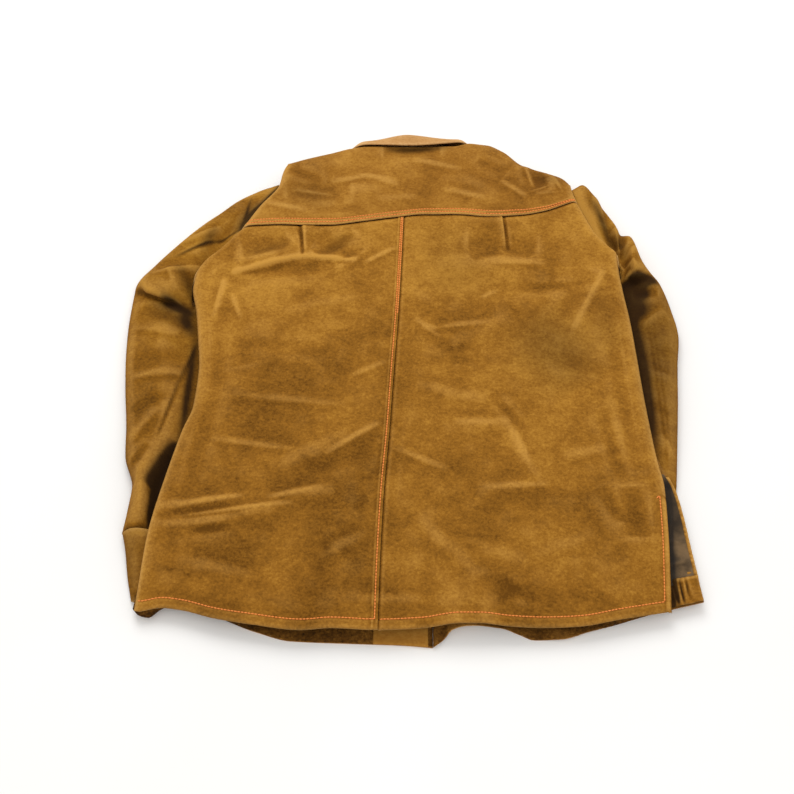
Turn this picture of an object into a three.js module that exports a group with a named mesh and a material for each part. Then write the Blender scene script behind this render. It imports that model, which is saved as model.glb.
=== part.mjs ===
// A suede shirt jacket laid face down: its back is up, the sleeves are folded down beside the
// body and the turned collar points away from the hem. Millimetres, +Z up, standing on z = 0.
// X runs across the back and Y runs from the hem up to the collar.
import * as THREE from "three";

// Cloth and seams
const SUEDE = 1.8;
const LINING = 1.0;
const FACING = 1.6;
const CUFF_WALL = 2.4;
const SEAM_GAP = 0.3;
const EDGE_GAP = 0.9;
const SLEEVE_GAP = 2.1;
const TIP_TUCK = 1.3;
const LAP = 1.3;
const LAP_WIDTH = 9;
const HEM_TURN = 13;
const HEM_EXTRA = 1.5;
const PANEL_LENGTH = 570;

// Shares of a panel's length in which its hem height fades and its folds begin.
const HEM_RISE_SHARE = 0.16;
const HEM_CORNER_SHARE = 0.03;
const SEAM_SHARE = 0.05;
const YOKE_SEAM_SHARE = 0.125;
const TIP_SHARE = 0.08;
const FOLD_START_SHARE = 0.06;
const FRONT_HEM_SHARE = 0.1;

// Run-in of a lapped edge and of a pleat's folded edge.
const LAP_STEP = 3;
const PLEAT_EDGE = 3;

// Rises of the fronts, over the folded collar and over the buttons, and their fade under the shoulders.
const NECK_RISE = { height: 6.5, from: 215, ramp: 45, middle: 22, reach: 130, fade: 30 };
const BUTTON_CLEARANCE = 0.5;
const BUTTON_RAMP = 26;
const TOP_FADE = 60;

// The pattern is laid out round the middle of the back; this is the middle of the whole outline.
const LAY_CENTRE = { x: 7.1, y: 56 };

// Colours
const COLOURS = {
  suede: { color: 0xa06e2c, roughness: 0.95, metalness: 0 },
  collar: { color: 0xbc8a50, roughness: 0.95, metalness: 0 },
  lining: { color: 0x7a6048, roughness: 0.6, metalness: 0 },
  facing: { color: 0x8c6428, roughness: 0.95, metalness: 0 },
  button: { color: 0x4a2f1a, roughness: 0.4, metalness: 0 },
};

// Plan of the body's edges, hem to shoulder tip. edge is the height of the side fold.
const LEFT_SIDE = [
  { x: -290, y: -299, edge: 12 },
  { x: -287, y: -264, edge: 16 },
  { x: -283, y: -211, edge: 23 },
  { x: -271, y: -142, edge: 28 },
  { x: -256, y: -70, edge: 28 },
  { x: -246, y: -33, edge: 28 },
  { x: -244, y: 16, edge: 28 },
  { x: -249, y: 66, edge: 28 },
  { x: -256, y: 114, edge: 28 },
  { x: -263, y: 150, edge: 28 },
  { x: -261, y: 175, edge: 28 },
  { x: -252, y: 195, edge: 28 },
  { x: -235, y: 214, edge: 28 },
  { x: -208, y: 249, edge: 28 },
];
const LEFT_ARMHOLE = [
  { x: -208, y: 249, edge: 28 },
  { x: -188, y: 288, edge: 27 },
  { x: -163, y: 330, edge: 25 },
  { x: -161, y: 342, edge: 23.5 },
  { x: -159, y: 357, edge: 21 },
  { x: -150, y: 377, edge: 16 },
];
const RIGHT_SIDE = [
  { x: 301, y: -299, edge: 15 },
  { x: 304, y: -262, edge: 17 },
  { x: 307, y: -212, edge: 22 },
  { x: 309, y: -146, edge: 28 },
  { x: 305, y: -112, edge: 28 },
  { x: 302, y: -70, edge: 28 },
  { x: 299, y: -10, edge: 28 },
  { x: 297, y: 50, edge: 28 },
  { x: 295, y: 98, edge: 28 },
  { x: 291, y: 145, edge: 28 },
  { x: 289, y: 183, edge: 28 },
  { x: 289, y: 207, edge: 28 },
  { x: 278, y: 222, edge: 28 },
  { x: 264, y: 243, edge: 28 },
  { x: 253, y: 272, edge: 28 },
  { x: 245, y: 296, edge: 28 },
];
const RIGHT_ARMHOLE = [
  { x: 245, y: 296, edge: 28 },
  { x: 241, y: 315, edge: 26 },
  { x: 238, y: 331, edge: 24 },
];

// Back hem, yoke seam and shoulder line, left to right. z is the height of the hem's lower face.
const BACK_HEM = [
  { x: -290, y: -299, z: 12 },
  { x: -260, y: -294, z: 14 },
  { x: -238, y: -297, z: 15 },
  { x: -199, y: -308, z: 17 },
  { x: -160, y: -315, z: 18 },
  { x: -105, y: -322, z: 18 },
  { x: -72, y: -320, z: 19 },
  { x: -21, y: -322, z: 18 },
  { x: 25, y: -320, z: 18 },
  { x: 68, y: -316, z: 23 },
  { x: 90, y: -316, z: 23 },
  { x: 122, y: -318, z: 19 },
  { x: 155, y: -319, z: 17 },
  { x: 198, y: -317, z: 16 },
  { x: 242, y: -309, z: 16 },
  { x: 276, y: -303, z: 15 },
  { x: 301, y: -299, z: 15 },
];
const YOKE_SEAM = [
  { x: -208, y: 249 },
  { x: -183, y: 251 },
  { x: -156, y: 252 },
  { x: -125, y: 251 },
  { x: -89, y: 251 },
  { x: -51, y: 256 },
  { x: 4, y: 266 },
  { x: 39, y: 271 },
  { x: 72, y: 271 },
  { x: 127, y: 266 },
  { x: 167, y: 268 },
  { x: 195, y: 274 },
  { x: 223, y: 286 },
  { x: 245, y: 296 },
];
const SHOULDER_LINE = [
  { x: -150, y: 377, edge: 16 },
  { x: -122, y: 387, edge: 16 },
  { x: -94, y: 395, edge: 22 },
  { x: -66, y: 401, edge: 32 },
  { x: -40, y: 402, edge: 37 },
  { x: 20, y: 400, edge: 38 },
  { x: 80, y: 402, edge: 37 },
  { x: 104, y: 411, edge: 32 },
  { x: 126, y: 412, edge: 24 },
  { x: 148, y: 402, edge: 19 },
  { x: 173, y: 375, edge: 18 },
  { x: 191, y: 366, edge: 20 },
  { x: 209, y: 357, edge: 22 },
  { x: 227, y: 347, edge: 23 },
  { x: 238, y: 331, edge: 24 },
];
const CENTRE_SEAM = [
  { x: -21, y: -322 },
  { x: -19, y: -248 },
  { x: -15, y: -159 },
  { x: -9, y: -77 },
  { x: -4, y: 11 },
  { x: 2, y: 105 },
  { x: 6, y: 188 },
  { x: 9, y: 266.5 },
];

// Height of the back's outer face by distance up the back, before folds.
const BACK_HEIGHT = [
  { y: -330, z: 21 },
  { y: -290, z: 25 },
  { y: -230, z: 31 },
  { y: -150, z: 36 },
  { y: 0, z: 37 },
  { y: 150, z: 38 },
  { y: 260, z: 40 },
  { y: 340, z: 41 },
  { y: 410, z: 42 },
];

// Soft ridges (height above 0) and troughs (below 0) of the back, each along a straight line.
const BACK_FOLDS = [
  { x1: -272, y1: -178, x2: -180, y2: -166, width: 11, height: 4 },
  { x1: -262, y1: -186, x2: -185, y2: -179, width: 9, height: -3 },
  { x1: -270, y1: -197, x2: -122, y2: -175, width: 10, height: 4.5 },
  { x1: -158, y1: -168, x2: -80, y2: -155, width: 10, height: 3 },
  { x1: -135, y1: -118, x2: -15, y2: -62, width: 16, height: 3.5 },
  { x1: -120, y1: -140, x2: -20, y2: -92, width: 14, height: -2.5 },
  { x1: -215, y1: 190, x2: -70, y2: 198, width: 15, height: 4.5 },
  { x1: -205, y1: 172, x2: -80, y2: 182, width: 14, height: -4 },
  { x1: -205, y1: 214, x2: -145, y2: 232, width: 12, height: -4 },
  { x1: -118, y1: 240, x2: -52, y2: 196, width: 17, height: -5 },
  { x1: 92, y1: 222, x2: 185, y2: 214, width: 18, height: -5 },
  { x1: 60, y1: 190, x2: 190, y2: 176, width: 18, height: 3.5 },
  { x1: 268, y1: 180, x2: 222, y2: 88, width: 14, height: 4 },
  { x1: 252, y1: 168, x2: 196, y2: 76, width: 16, height: -4 },
  { x1: 110, y1: 142, x2: 235, y2: 146, width: 10, height: -2.5 },
  { x1: 60, y1: -66, x2: 128, y2: -62, width: 14, height: 3 },
  { x1: 128, y1: -62, x2: 162, y2: -145, width: 13, height: 3.5 },
  { x1: 96, y1: -152, x2: 150, y2: -150, width: 13, height: 3 },
  { x1: 268, y1: -150, x2: 272, y2: -215, width: 16, height: -4 },
  { x1: -190, y1: 20, x2: -215, y2: 120, width: 18, height: -3 },
  { x1: 60, y1: 60, x2: 150, y2: 100, width: 20, height: 3 },
];
const YOKE_FOLDS = [
  { x1: -150, y1: 312, x2: -62, y2: 316, width: 16, height: -4 },
  { x1: -78, y1: 300, x2: 0, y2: 342, width: 18, height: 3.5 },
  { x1: -20, y1: 392, x2: 62, y2: 394, width: 14, height: -5 },
  { x1: 180, y1: 362, x2: 196, y2: 318, width: 13, height: -6 },
  { x1: 206, y1: 340, x2: 214, y2: 312, width: 10, height: 3 },
  { x1: 60, y1: 345, x2: 140, y2: 300, width: 20, height: 3 },
  { x1: -135, y1: 360, x2: -60, y2: 372, width: 16, height: 2.5 },
];
const PLEATS = [
  { x: -119, top: 253, bottom: 196, towards: 1, rise: 6, spread: 26 },
  { x: 141, top: 270, bottom: 208, towards: -1, rise: 5, spread: 22 },
];

// Sleeves, armhole to cuff: the outer and inner edge in plan, the crest's distance from the outer
// edge, its height, the width in which it falls to the hidden inner half's height, and the lift.
const LEFT_SLEEVE = [
  { at: 0, outX: -161.5, outY: 342, inX: -263.5, inY: 149, crest: 60, crestZ: 5.6, fall: 62, innerZ: 5.6, lift: 21 },
  { at: 14, outX: -184, outY: 336, inX: -264.5, inY: 146, crest: 55, crestZ: 14, fall: 62, innerZ: 8, lift: 13 },
  { at: 40, outX: -213, outY: 322, inX: -265.2, inY: 144, crest: 50, crestZ: 25, fall: 62, innerZ: 12, lift: 2 },
  { at: 75, outX: -246, outY: 291, inX: -266, inY: 142, crest: 50, crestZ: 26, fall: 62, innerZ: 13, lift: 0 },
  { at: 120, outX: -290, outY: 244, inX: -265, inY: 139, crest: 46, crestZ: 27, fall: 50, innerZ: 12, lift: 0 },
  { at: 165, outX: -322, outY: 200, inX: -257, inY: 131, crest: 42, crestZ: 31, fall: 46, innerZ: 12, lift: 0 },
  { at: 200, outX: -340.5, outY: 168, inX: -247, inY: 120, crest: 42, crestZ: 35, fall: 46, innerZ: 11, lift: 0 },
  { at: 210, outX: -343.5, outY: 156, inX: -241, inY: 112, crest: 40, crestZ: 21, fall: 52, innerZ: 10, lift: 0 },
  { at: 250, outX: -344.5, outY: 112, inX: -207, inY: 66, crest: 46, crestZ: 22, fall: 62, innerZ: 9, lift: 0 },
  { at: 300, outX: -342.5, outY: 66, inX: -190, inY: 12, crest: 50, crestZ: 24, fall: 62, innerZ: 9, lift: 0 },
  { at: 355, outX: -336.5, outY: 8, inX: -186, inY: -42, crest: 52, crestZ: 26, fall: 62, innerZ: 9, lift: 0 },
  { at: 410, outX: -328.5, outY: -48, inX: -185, inY: -88, crest: 45, crestZ: 26, fall: 50, innerZ: 8, lift: 0 },
  { at: 450, outX: -323.5, outY: -95, inX: -186, inY: -122, crest: 27, crestZ: 28, fall: 32, innerZ: 7.5, lift: 0 },
  { at: 485, outX: -310.5, outY: -138, inX: -188, inY: -150, crest: 13, crestZ: 29, fall: 20, innerZ: 7.5, lift: 0 },
  { at: 515, outX: -312.5, outY: -170, inX: -189, inY: -174, crest: 15, crestZ: 26, fall: 20, innerZ: 7.5, lift: 0 },
  { at: 540, outX: -315.5, outY: -197, inX: -190, inY: -197, crest: 14, crestZ: 20, fall: 24, innerZ: 8, lift: 0 },
];
const RIGHT_SLEEVE = [
  { at: 0, outX: 239, outY: 331, inX: 289.8, inY: 196, crest: 60, crestZ: 5.6, fall: 62, innerZ: 5.6, lift: 21 },
  { at: 14, outX: 256, outY: 345, inX: 291, inY: 193, crest: 50, crestZ: 17, fall: 62, innerZ: 8, lift: 12 },
  { at: 34, outX: 270, outY: 329, inX: 292, inY: 191, crest: 40, crestZ: 27, fall: 50, innerZ: 13, lift: 2 },
  { at: 55, outX: 281, outY: 309, inX: 292.6, inY: 189, crest: 35, crestZ: 22, fall: 40, innerZ: 13, lift: 0 },
  { at: 85, outX: 297, outY: 277, inX: 293, inY: 187, crest: 35, crestZ: 27, fall: 30, innerZ: 14, lift: 0 },
  { at: 112, outX: 312, outY: 252, inX: 293, inY: 184.5, crest: 30, crestZ: 24, fall: 26, innerZ: 14, lift: 0 },
  { at: 145, outX: 326, outY: 208, inX: 292, inY: 178.5, crest: 21, crestZ: 35, fall: 14, innerZ: 14, lift: 0 },
  { at: 158, outX: 334, outY: 190, inX: 286, inY: 170, crest: 26, crestZ: 33, fall: 16, innerZ: 12, lift: 0 },
  { at: 172, outX: 346, outY: 171, inX: 275, inY: 163, crest: 18, crestZ: 24, fall: 40, innerZ: 10, lift: 0 },
  { at: 210, outX: 355, outY: 127, inX: 250, inY: 122, crest: 20, crestZ: 24, fall: 62, innerZ: 9, lift: 0 },
  { at: 250, outX: 359, outY: 92, inX: 232, inY: 80, crest: 24, crestZ: 25, fall: 62, innerZ: 9, lift: 0 },
  { at: 300, outX: 352, outY: 42, inX: 216, inY: 30, crest: 26, crestZ: 25, fall: 62, innerZ: 9, lift: 0 },
  { at: 360, outX: 345, outY: -16, inX: 206, inY: -25, crest: 26, crestZ: 25, fall: 62, innerZ: 9, lift: 0 },
  { at: 420, outX: 337, outY: -74, inX: 202, inY: -80, crest: 24, crestZ: 24, fall: 62, innerZ: 9, lift: 0 },
  { at: 465, outX: 331, outY: -118, inX: 200, inY: -122, crest: 24, crestZ: 19, fall: 62, innerZ: 9, lift: 0 },
  { at: 495, outX: 327, outY: -146, inX: 199, inY: -150, crest: 24, crestZ: 11, fall: 62, innerZ: 9, lift: 0 },
  { at: 540, outX: 316, outY: -194, inX: 197, inY: -194, crest: 24, crestZ: 9, fall: 62, innerZ: 9, lift: 0 },
];
const LEFT_CUFF = [
  { at: 0, outX: -314.5, outY: -197.3, inX: -189, inY: -197.3, crest: 18, crestZ: 23, fall: 40, innerZ: 9, lift: 0 },
  { at: 20, outX: -309.5, outY: -216, inX: -188, inY: -216, crest: 17, crestZ: 20, fall: 40, innerZ: 9, lift: 0 },
  { at: 55, outX: -302.5, outY: -252, inX: -186, inY: -252, crest: 13, crestZ: 14, fall: 40, innerZ: 9, lift: 0 },
  { at: 83, outX: -295.5, outY: -280, inX: -184, inY: -280, crest: 9, crestZ: 8.8, fall: 40, innerZ: 8.4, lift: 0 },
];
const RIGHT_CUFF = [
  { at: 0, outX: 317, outY: -194.3, inX: 196, inY: -194.3, crest: 24, crestZ: 9, fall: 40, innerZ: 9, lift: 0 },
  { at: 78, outX: 311, outY: -272, inX: 192, inY: -272, crest: 24, crestZ: 9, fall: 40, innerZ: 9, lift: 0 },
];
const SLEEVE_NOSE = 13;
const SLEEVE_SEAT = 5;
const OUTER_SEAT = 10;
const OUTER_FOOT = 16;
const SEAT_FADE = 30;
const CREST_START = 0.7;
const RING_STEPS = 18;
const RING_APART = 6;
const ARMHOLE_FADE = 40;
const LEFT_ARMHOLE_SPAN = { low: 150, high: 345 };
const RIGHT_ARMHOLE_SPAN = { low: 183, high: 331 };
const LEFT_EXTRA_RINGS = [8, 18, 200, 204, 210, 485];
const RIGHT_EXTRA_RINGS = [8, 18, 145, 158, 172];

// Fronts, under the back. The hem's z lifts the cloth a little off the table where it ripples.
const FRONT_HEM_LEFT = [
  { x: -291, y: -291, z: 0 },
  { x: -272, y: -297, z: 0 },
  { x: -258, y: -290, z: 0 },
  { x: -236, y: -285, z: 0 },
  { x: -201, y: -298, z: 0 },
  { x: -150, y: -317, z: 0 },
  { x: -117, y: -326, z: 0 },
  { x: -51, y: -329, z: 0 },
  { x: 3, y: -331, z: 0 },
  { x: 38, y: -334, z: 0 },
];
const FRONT_HEM_RIGHT = [
  { x: 39.4, y: -335, z: 1 },
  { x: 52, y: -325, z: 4 },
  { x: 60, y: -316, z: 7 },
  { x: 72, y: -312, z: 8 },
  { x: 92, y: -310, z: 5 },
  { x: 113, y: -311, z: 1 },
  { x: 135, y: -319, z: 0 },
  { x: 150, y: -325, z: 0 },
  { x: 178, y: -325, z: 0 },
  { x: 211, y: -316, z: 0 },
  { x: 245, y: -307, z: 0 },
  { x: 274, y: -299, z: 0 },
  { x: 305, y: -292, z: 0 },
  { x: 339, y: -284, z: 0 },
];
const FRONT_CORNER = [
  { x: -291, y: -291, edge: 9.5 },
  { x: -289, y: -281, edge: 12.9 },
];
const FRONT_EDGE_LEFT = [
  { x: 38, y: -334 },
  { x: 36, y: -100 },
  { x: 33, y: 120 },
  { x: 30, y: 300 },
];
const FRONT_EDGE_RIGHT = [
  { x: 39.4, y: -335 },
  { x: 40, y: -240 },
  { x: 38, y: -100 },
  { x: 35, y: 120 },
  { x: 32, y: 300 },
];
const FRONT_NECK_LEFT = [
  { x: -66, y: 401 },
  { x: -58, y: 366 },
  { x: -34, y: 330 },
  { x: 2, y: 306 },
  { x: 30, y: 300 },
];
const FRONT_NECK_RIGHT = [
  { x: 32, y: 300 },
  { x: 64, y: 308 },
  { x: 94, y: 334 },
  { x: 108, y: 368 },
  { x: 104, y: 411 },
];
const VENT_FLAP = [
  { x: 339, y: -284, edge: 12 },
  { x: 336, y: -249, edge: 12 },
  { x: 333, y: -214, edge: 12 },
  { x: 330, y: -178, edge: 13 },
  { x: 324, y: -146, edge: 18 },
  { x: 312, y: -124, edge: 27 },
  { x: 304, y: -100, edge: 28 },
];
const FLAP_TOP = -80;
const SIDE_RISE = 70;
const SHELF_Z = 10.2;
const SHELF_LEFT = [
  { y: -312, reach: 112, level: 0 },
  { y: -300, reach: 112, level: 4 },
  { y: -290, reach: 112, level: 8 },
  { y: -282, reach: 112, level: SHELF_Z },
  { y: -200, reach: 104, level: SHELF_Z },
  { y: -100, reach: 90, level: SHELF_Z },
  { y: 60, reach: 66, level: SHELF_Z },
  { y: 150, reach: 40, level: SHELF_Z },
  { y: 230, reach: 10, level: 4 },
];
const SHELF_RIGHT = [
  { y: -310, reach: 158, level: 3 },
  { y: -280, reach: 156, level: SHELF_Z },
  { y: -200, reach: 146, level: SHELF_Z },
  { y: -100, reach: 120, level: SHELF_Z },
  { y: 30, reach: 92, level: SHELF_Z },
  { y: 110, reach: 58, level: SHELF_Z },
  { y: 170, reach: 30, level: 8 },
  { y: 230, reach: 10, level: 4 },
];
const SHELF_FADE = 34;

// Radii of the body's rolled side folds and shoulder.
const SIDE_ROLL = 12;
const SHOULDER_ROLL = 26;

// Front edges: the right one rides on the buttons, both pass over the folded collar.
const BUTTON = { radius: 9, thickness: 3, inset: 17, sides: 16, heights: [-215, -115, -15, 85, 185] };
const PLACKET_WIDTH = 40;

// Collar, from one front end round the back of the neck to the other. The stand runs from the neck
// seam up to the fold and the fall from the fold to its free edge. It is creased at both shoulders,
// so that the back of it lies folded over on top and its fronts lie under the fronts of the body.
const COLLAR_STAND = [
  { at: 0, x: 24, y: 303, z: 7, topX: 25, topY: 326, topZ: 4.6 },
  { at: 1, x: -30, y: 333, z: 7, topX: -16, topY: 352, topZ: 5 },
  { at: 2, x: -56, y: 372, z: 12, topX: -46, topY: 383, topZ: 9 },
  { at: 2.6, x: -61, y: 390, z: 19, topX: -53, topY: 398, topZ: 11 },
  { at: 3, x: -60, y: 403.5, z: 26, topX: -57, topY: 410, topZ: 14 },
  { at: 3.4, x: -52, y: 403.5, z: 30, topX: -50, topY: 414, topZ: 13 },
  { at: 4, x: -36, y: 403.5, z: 34, topX: -36, topY: 417, topZ: 12 },
  { at: 5, x: 16, y: 401.4, z: 36, topX: 12, topY: 442, topZ: 10 },
  { at: 6, x: 76, y: 403.5, z: 34, topX: 76, topY: 418, topZ: 12 },
  { at: 6.6, x: 88, y: 408, z: 30, topX: 88, topY: 416, topZ: 13 },
  { at: 7, x: 97, y: 412, z: 26, topX: 94, topY: 418, topZ: 14 },
  { at: 7.4, x: 102, y: 396, z: 19, topX: 96, topY: 404, topZ: 11 },
  { at: 8, x: 103.5, y: 372, z: 12, topX: 94, topY: 383, topZ: 9 },
  { at: 9, x: 89, y: 337, z: 7, topX: 78, topY: 352, topZ: 5 },
  { at: 10, x: 40, y: 303, z: 7, topX: 39, topY: 326, topZ: 4.6 },
];
const COLLAR_FALL = [
  { at: 0, x: 25.2, y: 328.6, z: 2.4, freeX: 14, freeY: 262, freeZ: 0 },
  { at: 1, x: -14.5, y: 354.5, z: 2.7, freeX: -62, freeY: 300, freeZ: 0 },
  { at: 2, x: -44.5, y: 385.5, z: 6.4, freeX: -92, freeY: 362, freeZ: 1.5 },
  { at: 2.6, x: -52, y: 401, z: 8, freeX: -92, freeY: 386, freeZ: 5 },
  { at: 3, x: -58.5, y: 414, z: 12.5, freeX: -86, freeY: 402, freeZ: 13 },
  { at: 3.4, x: -52.5, y: 418, z: 17.5, freeX: -72, freeY: 404, freeZ: 24 },
  { at: 4, x: -37, y: 421, z: 16.5, freeX: -44, freeY: 402.5, freeZ: 42 },
  { at: 5, x: 12, y: 447, z: 14.5, freeX: 20, freeY: 398, freeZ: 45 },
  { at: 6, x: 77, y: 423, z: 16.5, freeX: 84, freeY: 407, freeZ: 42 },
  { at: 6.6, x: 91, y: 421, z: 17.5, freeX: 108, freeY: 414, freeZ: 25 },
  { at: 7, x: 95.5, y: 423, z: 12.5, freeX: 122, freeY: 417, freeZ: 13 },
  { at: 7.4, x: 95, y: 407, z: 8, freeX: 132, freeY: 396, freeZ: 5 },
  { at: 8, x: 92.5, y: 385.5, z: 6.4, freeX: 138, freeY: 366, freeZ: 1.5 },
  { at: 9, x: 76.5, y: 354.5, z: 2.7, freeX: 122, freeY: 302, freeZ: 0 },
  { at: 10, x: 38.8, y: 328.6, z: 2.4, freeX: 50, freeY: 262, freeZ: 0 },
];
const COLLAR_SHARES = [0, 0.5, 1, 1.5, 2, 2.3, 2.6, 2.8, 3, 3.2, 3.4, 3.7, 4, 4.5, 5];
const FALL_BULGE = { height: 6, from: 24, ramp: 14 };

const clamp01 = (value) => THREE.MathUtils.clamp(value, 0, 1);
const smooth = (value) => THREE.MathUtils.smoothstep(value, 0, 1);
const mix = THREE.MathUtils.lerp;

// A monotone cubic through a table's column, read by another column that only grows.
function track(rows, key, column) {
  const keys = rows.map((row) => row[key]);
  const values = rows.map((row) => row[column]);
  const spans = keys.slice(1).map((end, i) => end - keys[i]);
  const slopes = spans.map((span, i) => (values[i + 1] - values[i]) / span);
  const tangents = keys.map((_, i) => {
    const before = slopes[Math.max(i - 1, 0)];
    const after = slopes[Math.min(i, slopes.length - 1)];
    return before * after <= 0 ? 0 : (2 * before * after) / (before + after);
  });
  return (wanted) => {
    const at = THREE.MathUtils.clamp(wanted, keys[0], keys[keys.length - 1]);
    const i = Math.min(keys.findLastIndex((start) => start <= at), spans.length - 1);
    const t = (at - keys[i]) / spans[i];
    const rise = values[i + 1] - values[i];
    const bend = tangents[i] * spans[i];
    const leave = tangents[i + 1] * spans[i];
    return values[i] + t * (bend + t * (3 * rise - 2 * bend - leave + t * (bend + leave - 2 * rise)));
  };
}

// A smooth route through a table's points, from 0 at the first to 1 at the last, by length.
function route(points) {
  let walked = 0;
  const marked = points.map((point, i) => {
    const last = points[Math.max(i - 1, 0)];
    walked += Math.hypot(point.x - last.x, point.y - last.y);
    return { ...point, walked };
  });
  const columns = Object.keys(points[0]).map((column) => [column, track(marked, "walked", column)]);
  return (share) => Object.fromEntries(columns.map(([column, read]) => [column, read(share * walked)]));
}

// The plan of a four-sided panel between its edge routes: bottom and top run with u, left and right with v.
function patch({ bottom, top, left, right }) {
  const blend = (u, v, axis) => {
    const across = mix(bottom(u)[axis], top(u)[axis], v) + mix(left(v)[axis], right(v)[axis], u);
    const low = mix(bottom(0)[axis], bottom(1)[axis], u);
    const high = mix(top(0)[axis], top(1)[axis], u);
    return across - mix(low, high, v);
  };
  return (u, v) => ({ x: blend(u, v, "x"), y: blend(u, v, "y") });
}

// How far a rolled edge has risen, from 0 on the edge to 1 at its radius.
const roll = (distance, radius) => Math.sqrt(1 - (1 - clamp01(distance / radius)) ** 2);
const steps = (count) => Array.from({ length: count + 1 }, (_, i) => i / count);

// A closed solid from a grid of outer points and a grid of inner points with the same layout.
function wallGeometry(outer, inner, closedRings) {
  const rows = outer.length;
  const cols = outer[0].length;
  const layer = rows * cols;
  const points = [...outer.flat(), ...inner.flat()];
  const faces = [];
  const quad = (a, b, c, d) => faces.push(a, b, c, a, c, d);
  const at = (row, col, side) => side * layer + row * cols + (col % cols);
  const lastCol = closedRings ? cols : cols - 1;
  for (let row = 0; row < rows - 1; row += 1) {
    for (let col = 0; col < lastCol; col += 1) {
      quad(at(row, col, 0), at(row, col + 1, 0), at(row + 1, col + 1, 0), at(row + 1, col, 0));
      quad(at(row, col, 1), at(row + 1, col, 1), at(row + 1, col + 1, 1), at(row, col + 1, 1));
    }
    if (!closedRings) {
      quad(at(row, 0, 0), at(row + 1, 0, 0), at(row + 1, 0, 1), at(row, 0, 1));
      quad(at(row, lastCol, 0), at(row, lastCol, 1), at(row + 1, lastCol, 1), at(row + 1, lastCol, 0));
    }
  }
  for (let col = 0; col < lastCol; col += 1) {
    quad(at(0, col, 0), at(0, col, 1), at(0, col + 1, 1), at(0, col + 1, 0));
    quad(at(rows - 1, col, 0), at(rows - 1, col + 1, 0), at(rows - 1, col + 1, 1), at(rows - 1, col, 1));
  }
  const geometry = new THREE.BufferGeometry();
  const flat = points.flatMap((point) => [point.x, point.y, point.z]);
  geometry.setAttribute("position", new THREE.Float32BufferAttribute(flat, 3));
  geometry.setIndex(faces);
  geometry.computeVertexNormals();
  return geometry;
}

// A sheet of cloth: surface(u, v) is its face, and wall(u, v) its thickness away from side.
// square(u, v) stands the wall upright where it is 0, in x and in y, as at a seam.
function sheetGeometry({ us, vs, surface, wall, side, square }) {
  const nudge = 1e-4;
  const normalAt = (u, v) => {
    const along = surface(Math.min(u + nudge, 1), v).sub(surface(Math.max(u - nudge, 0), v));
    const up = surface(u, Math.min(v + nudge, 1)).sub(surface(u, Math.max(v - nudge, 0)));
    const normal = along.cross(up).normalize();
    if (square) normal.multiply(square(u, v)).normalize();
    return normal;
  };
  const face = vs.map((v) => us.map((u) => surface(u, v)));
  const back = vs.map((v, row) =>
    us.map((u, col) => face[row][col].clone().addScaledVector(normalAt(u, v), -side * wall(u, v))),
  );
  return side > 0 ? wallGeometry(face, back, false) : wallGeometry(back, face, false);
}

function foldHeight(folds, x, y) {
  return folds.reduce((sum, fold) => {
    const runX = fold.x2 - fold.x1;
    const runY = fold.y2 - fold.y1;
    const share = clamp01(((x - fold.x1) * runX + (y - fold.y1) * runY) / (runX ** 2 + runY ** 2));
    const away = Math.hypot(x - fold.x1 - share * runX, y - fold.y1 - share * runY);
    return sum + fold.height * Math.exp(-((away / fold.width) ** 2));
  }, 0);
}

// A pleat stands up along its folded edge and fades across the panel and down the back.
function pleatHeight(x, y) {
  return PLEATS.reduce((sum, pleat) => {
    const away = (x - pleat.x) * pleat.towards;
    const down = clamp01((y - pleat.bottom) / (pleat.top - pleat.bottom));
    const across = away > 0 ? Math.exp(-away / pleat.spread) : Math.exp(-((away / PLEAT_EDGE) ** 2));
    return sum + pleat.rise * smooth(down) * across;
  }, 0);
}

const backHeight = track(BACK_HEIGHT, "y", "z");

function named(name, geometry, finish) {
  const mesh = new THREE.Mesh(geometry, new THREE.MeshStandardMaterial(COLOURS[finish]));
  mesh.name = name;
  return mesh;
}

// Part of a route, from share start to share end.
const stretch = (whole, start, end) => (share) => whole(mix(start, end, share));
const reversed = (whole) => (share) => whole(1 - share);

const centreSeam = route(CENTRE_SEAM);
const leftSide = route(LEFT_SIDE);
const rightSide = route(RIGHT_SIDE);
const hemWhole = route(BACK_HEM);
const yokeSeamWhole = route(YOKE_SEAM);

// The share of a left-to-right route at which it reaches x.
function shareAt(whole, x) {
  let low = 0;
  let high = 1;
  for (let turn = 0; turn < 40; turn += 1) {
    const middle = (low + high) / 2;
    if (whole(middle).x < x) low = middle;
    else high = middle;
  }
  return low;
}
const hemSplit = shareAt(hemWhole, CENTRE_SEAM[0].x);
const seamSplit = shareAt(yokeSeamWhole, CENTRE_SEAM[CENTRE_SEAM.length - 1].x);

const shifted = (whole, dx, dy) => (share) => {
  const point = whole(share);
  return { ...point, x: point.x + dx, y: point.y + dy };
};

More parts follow.
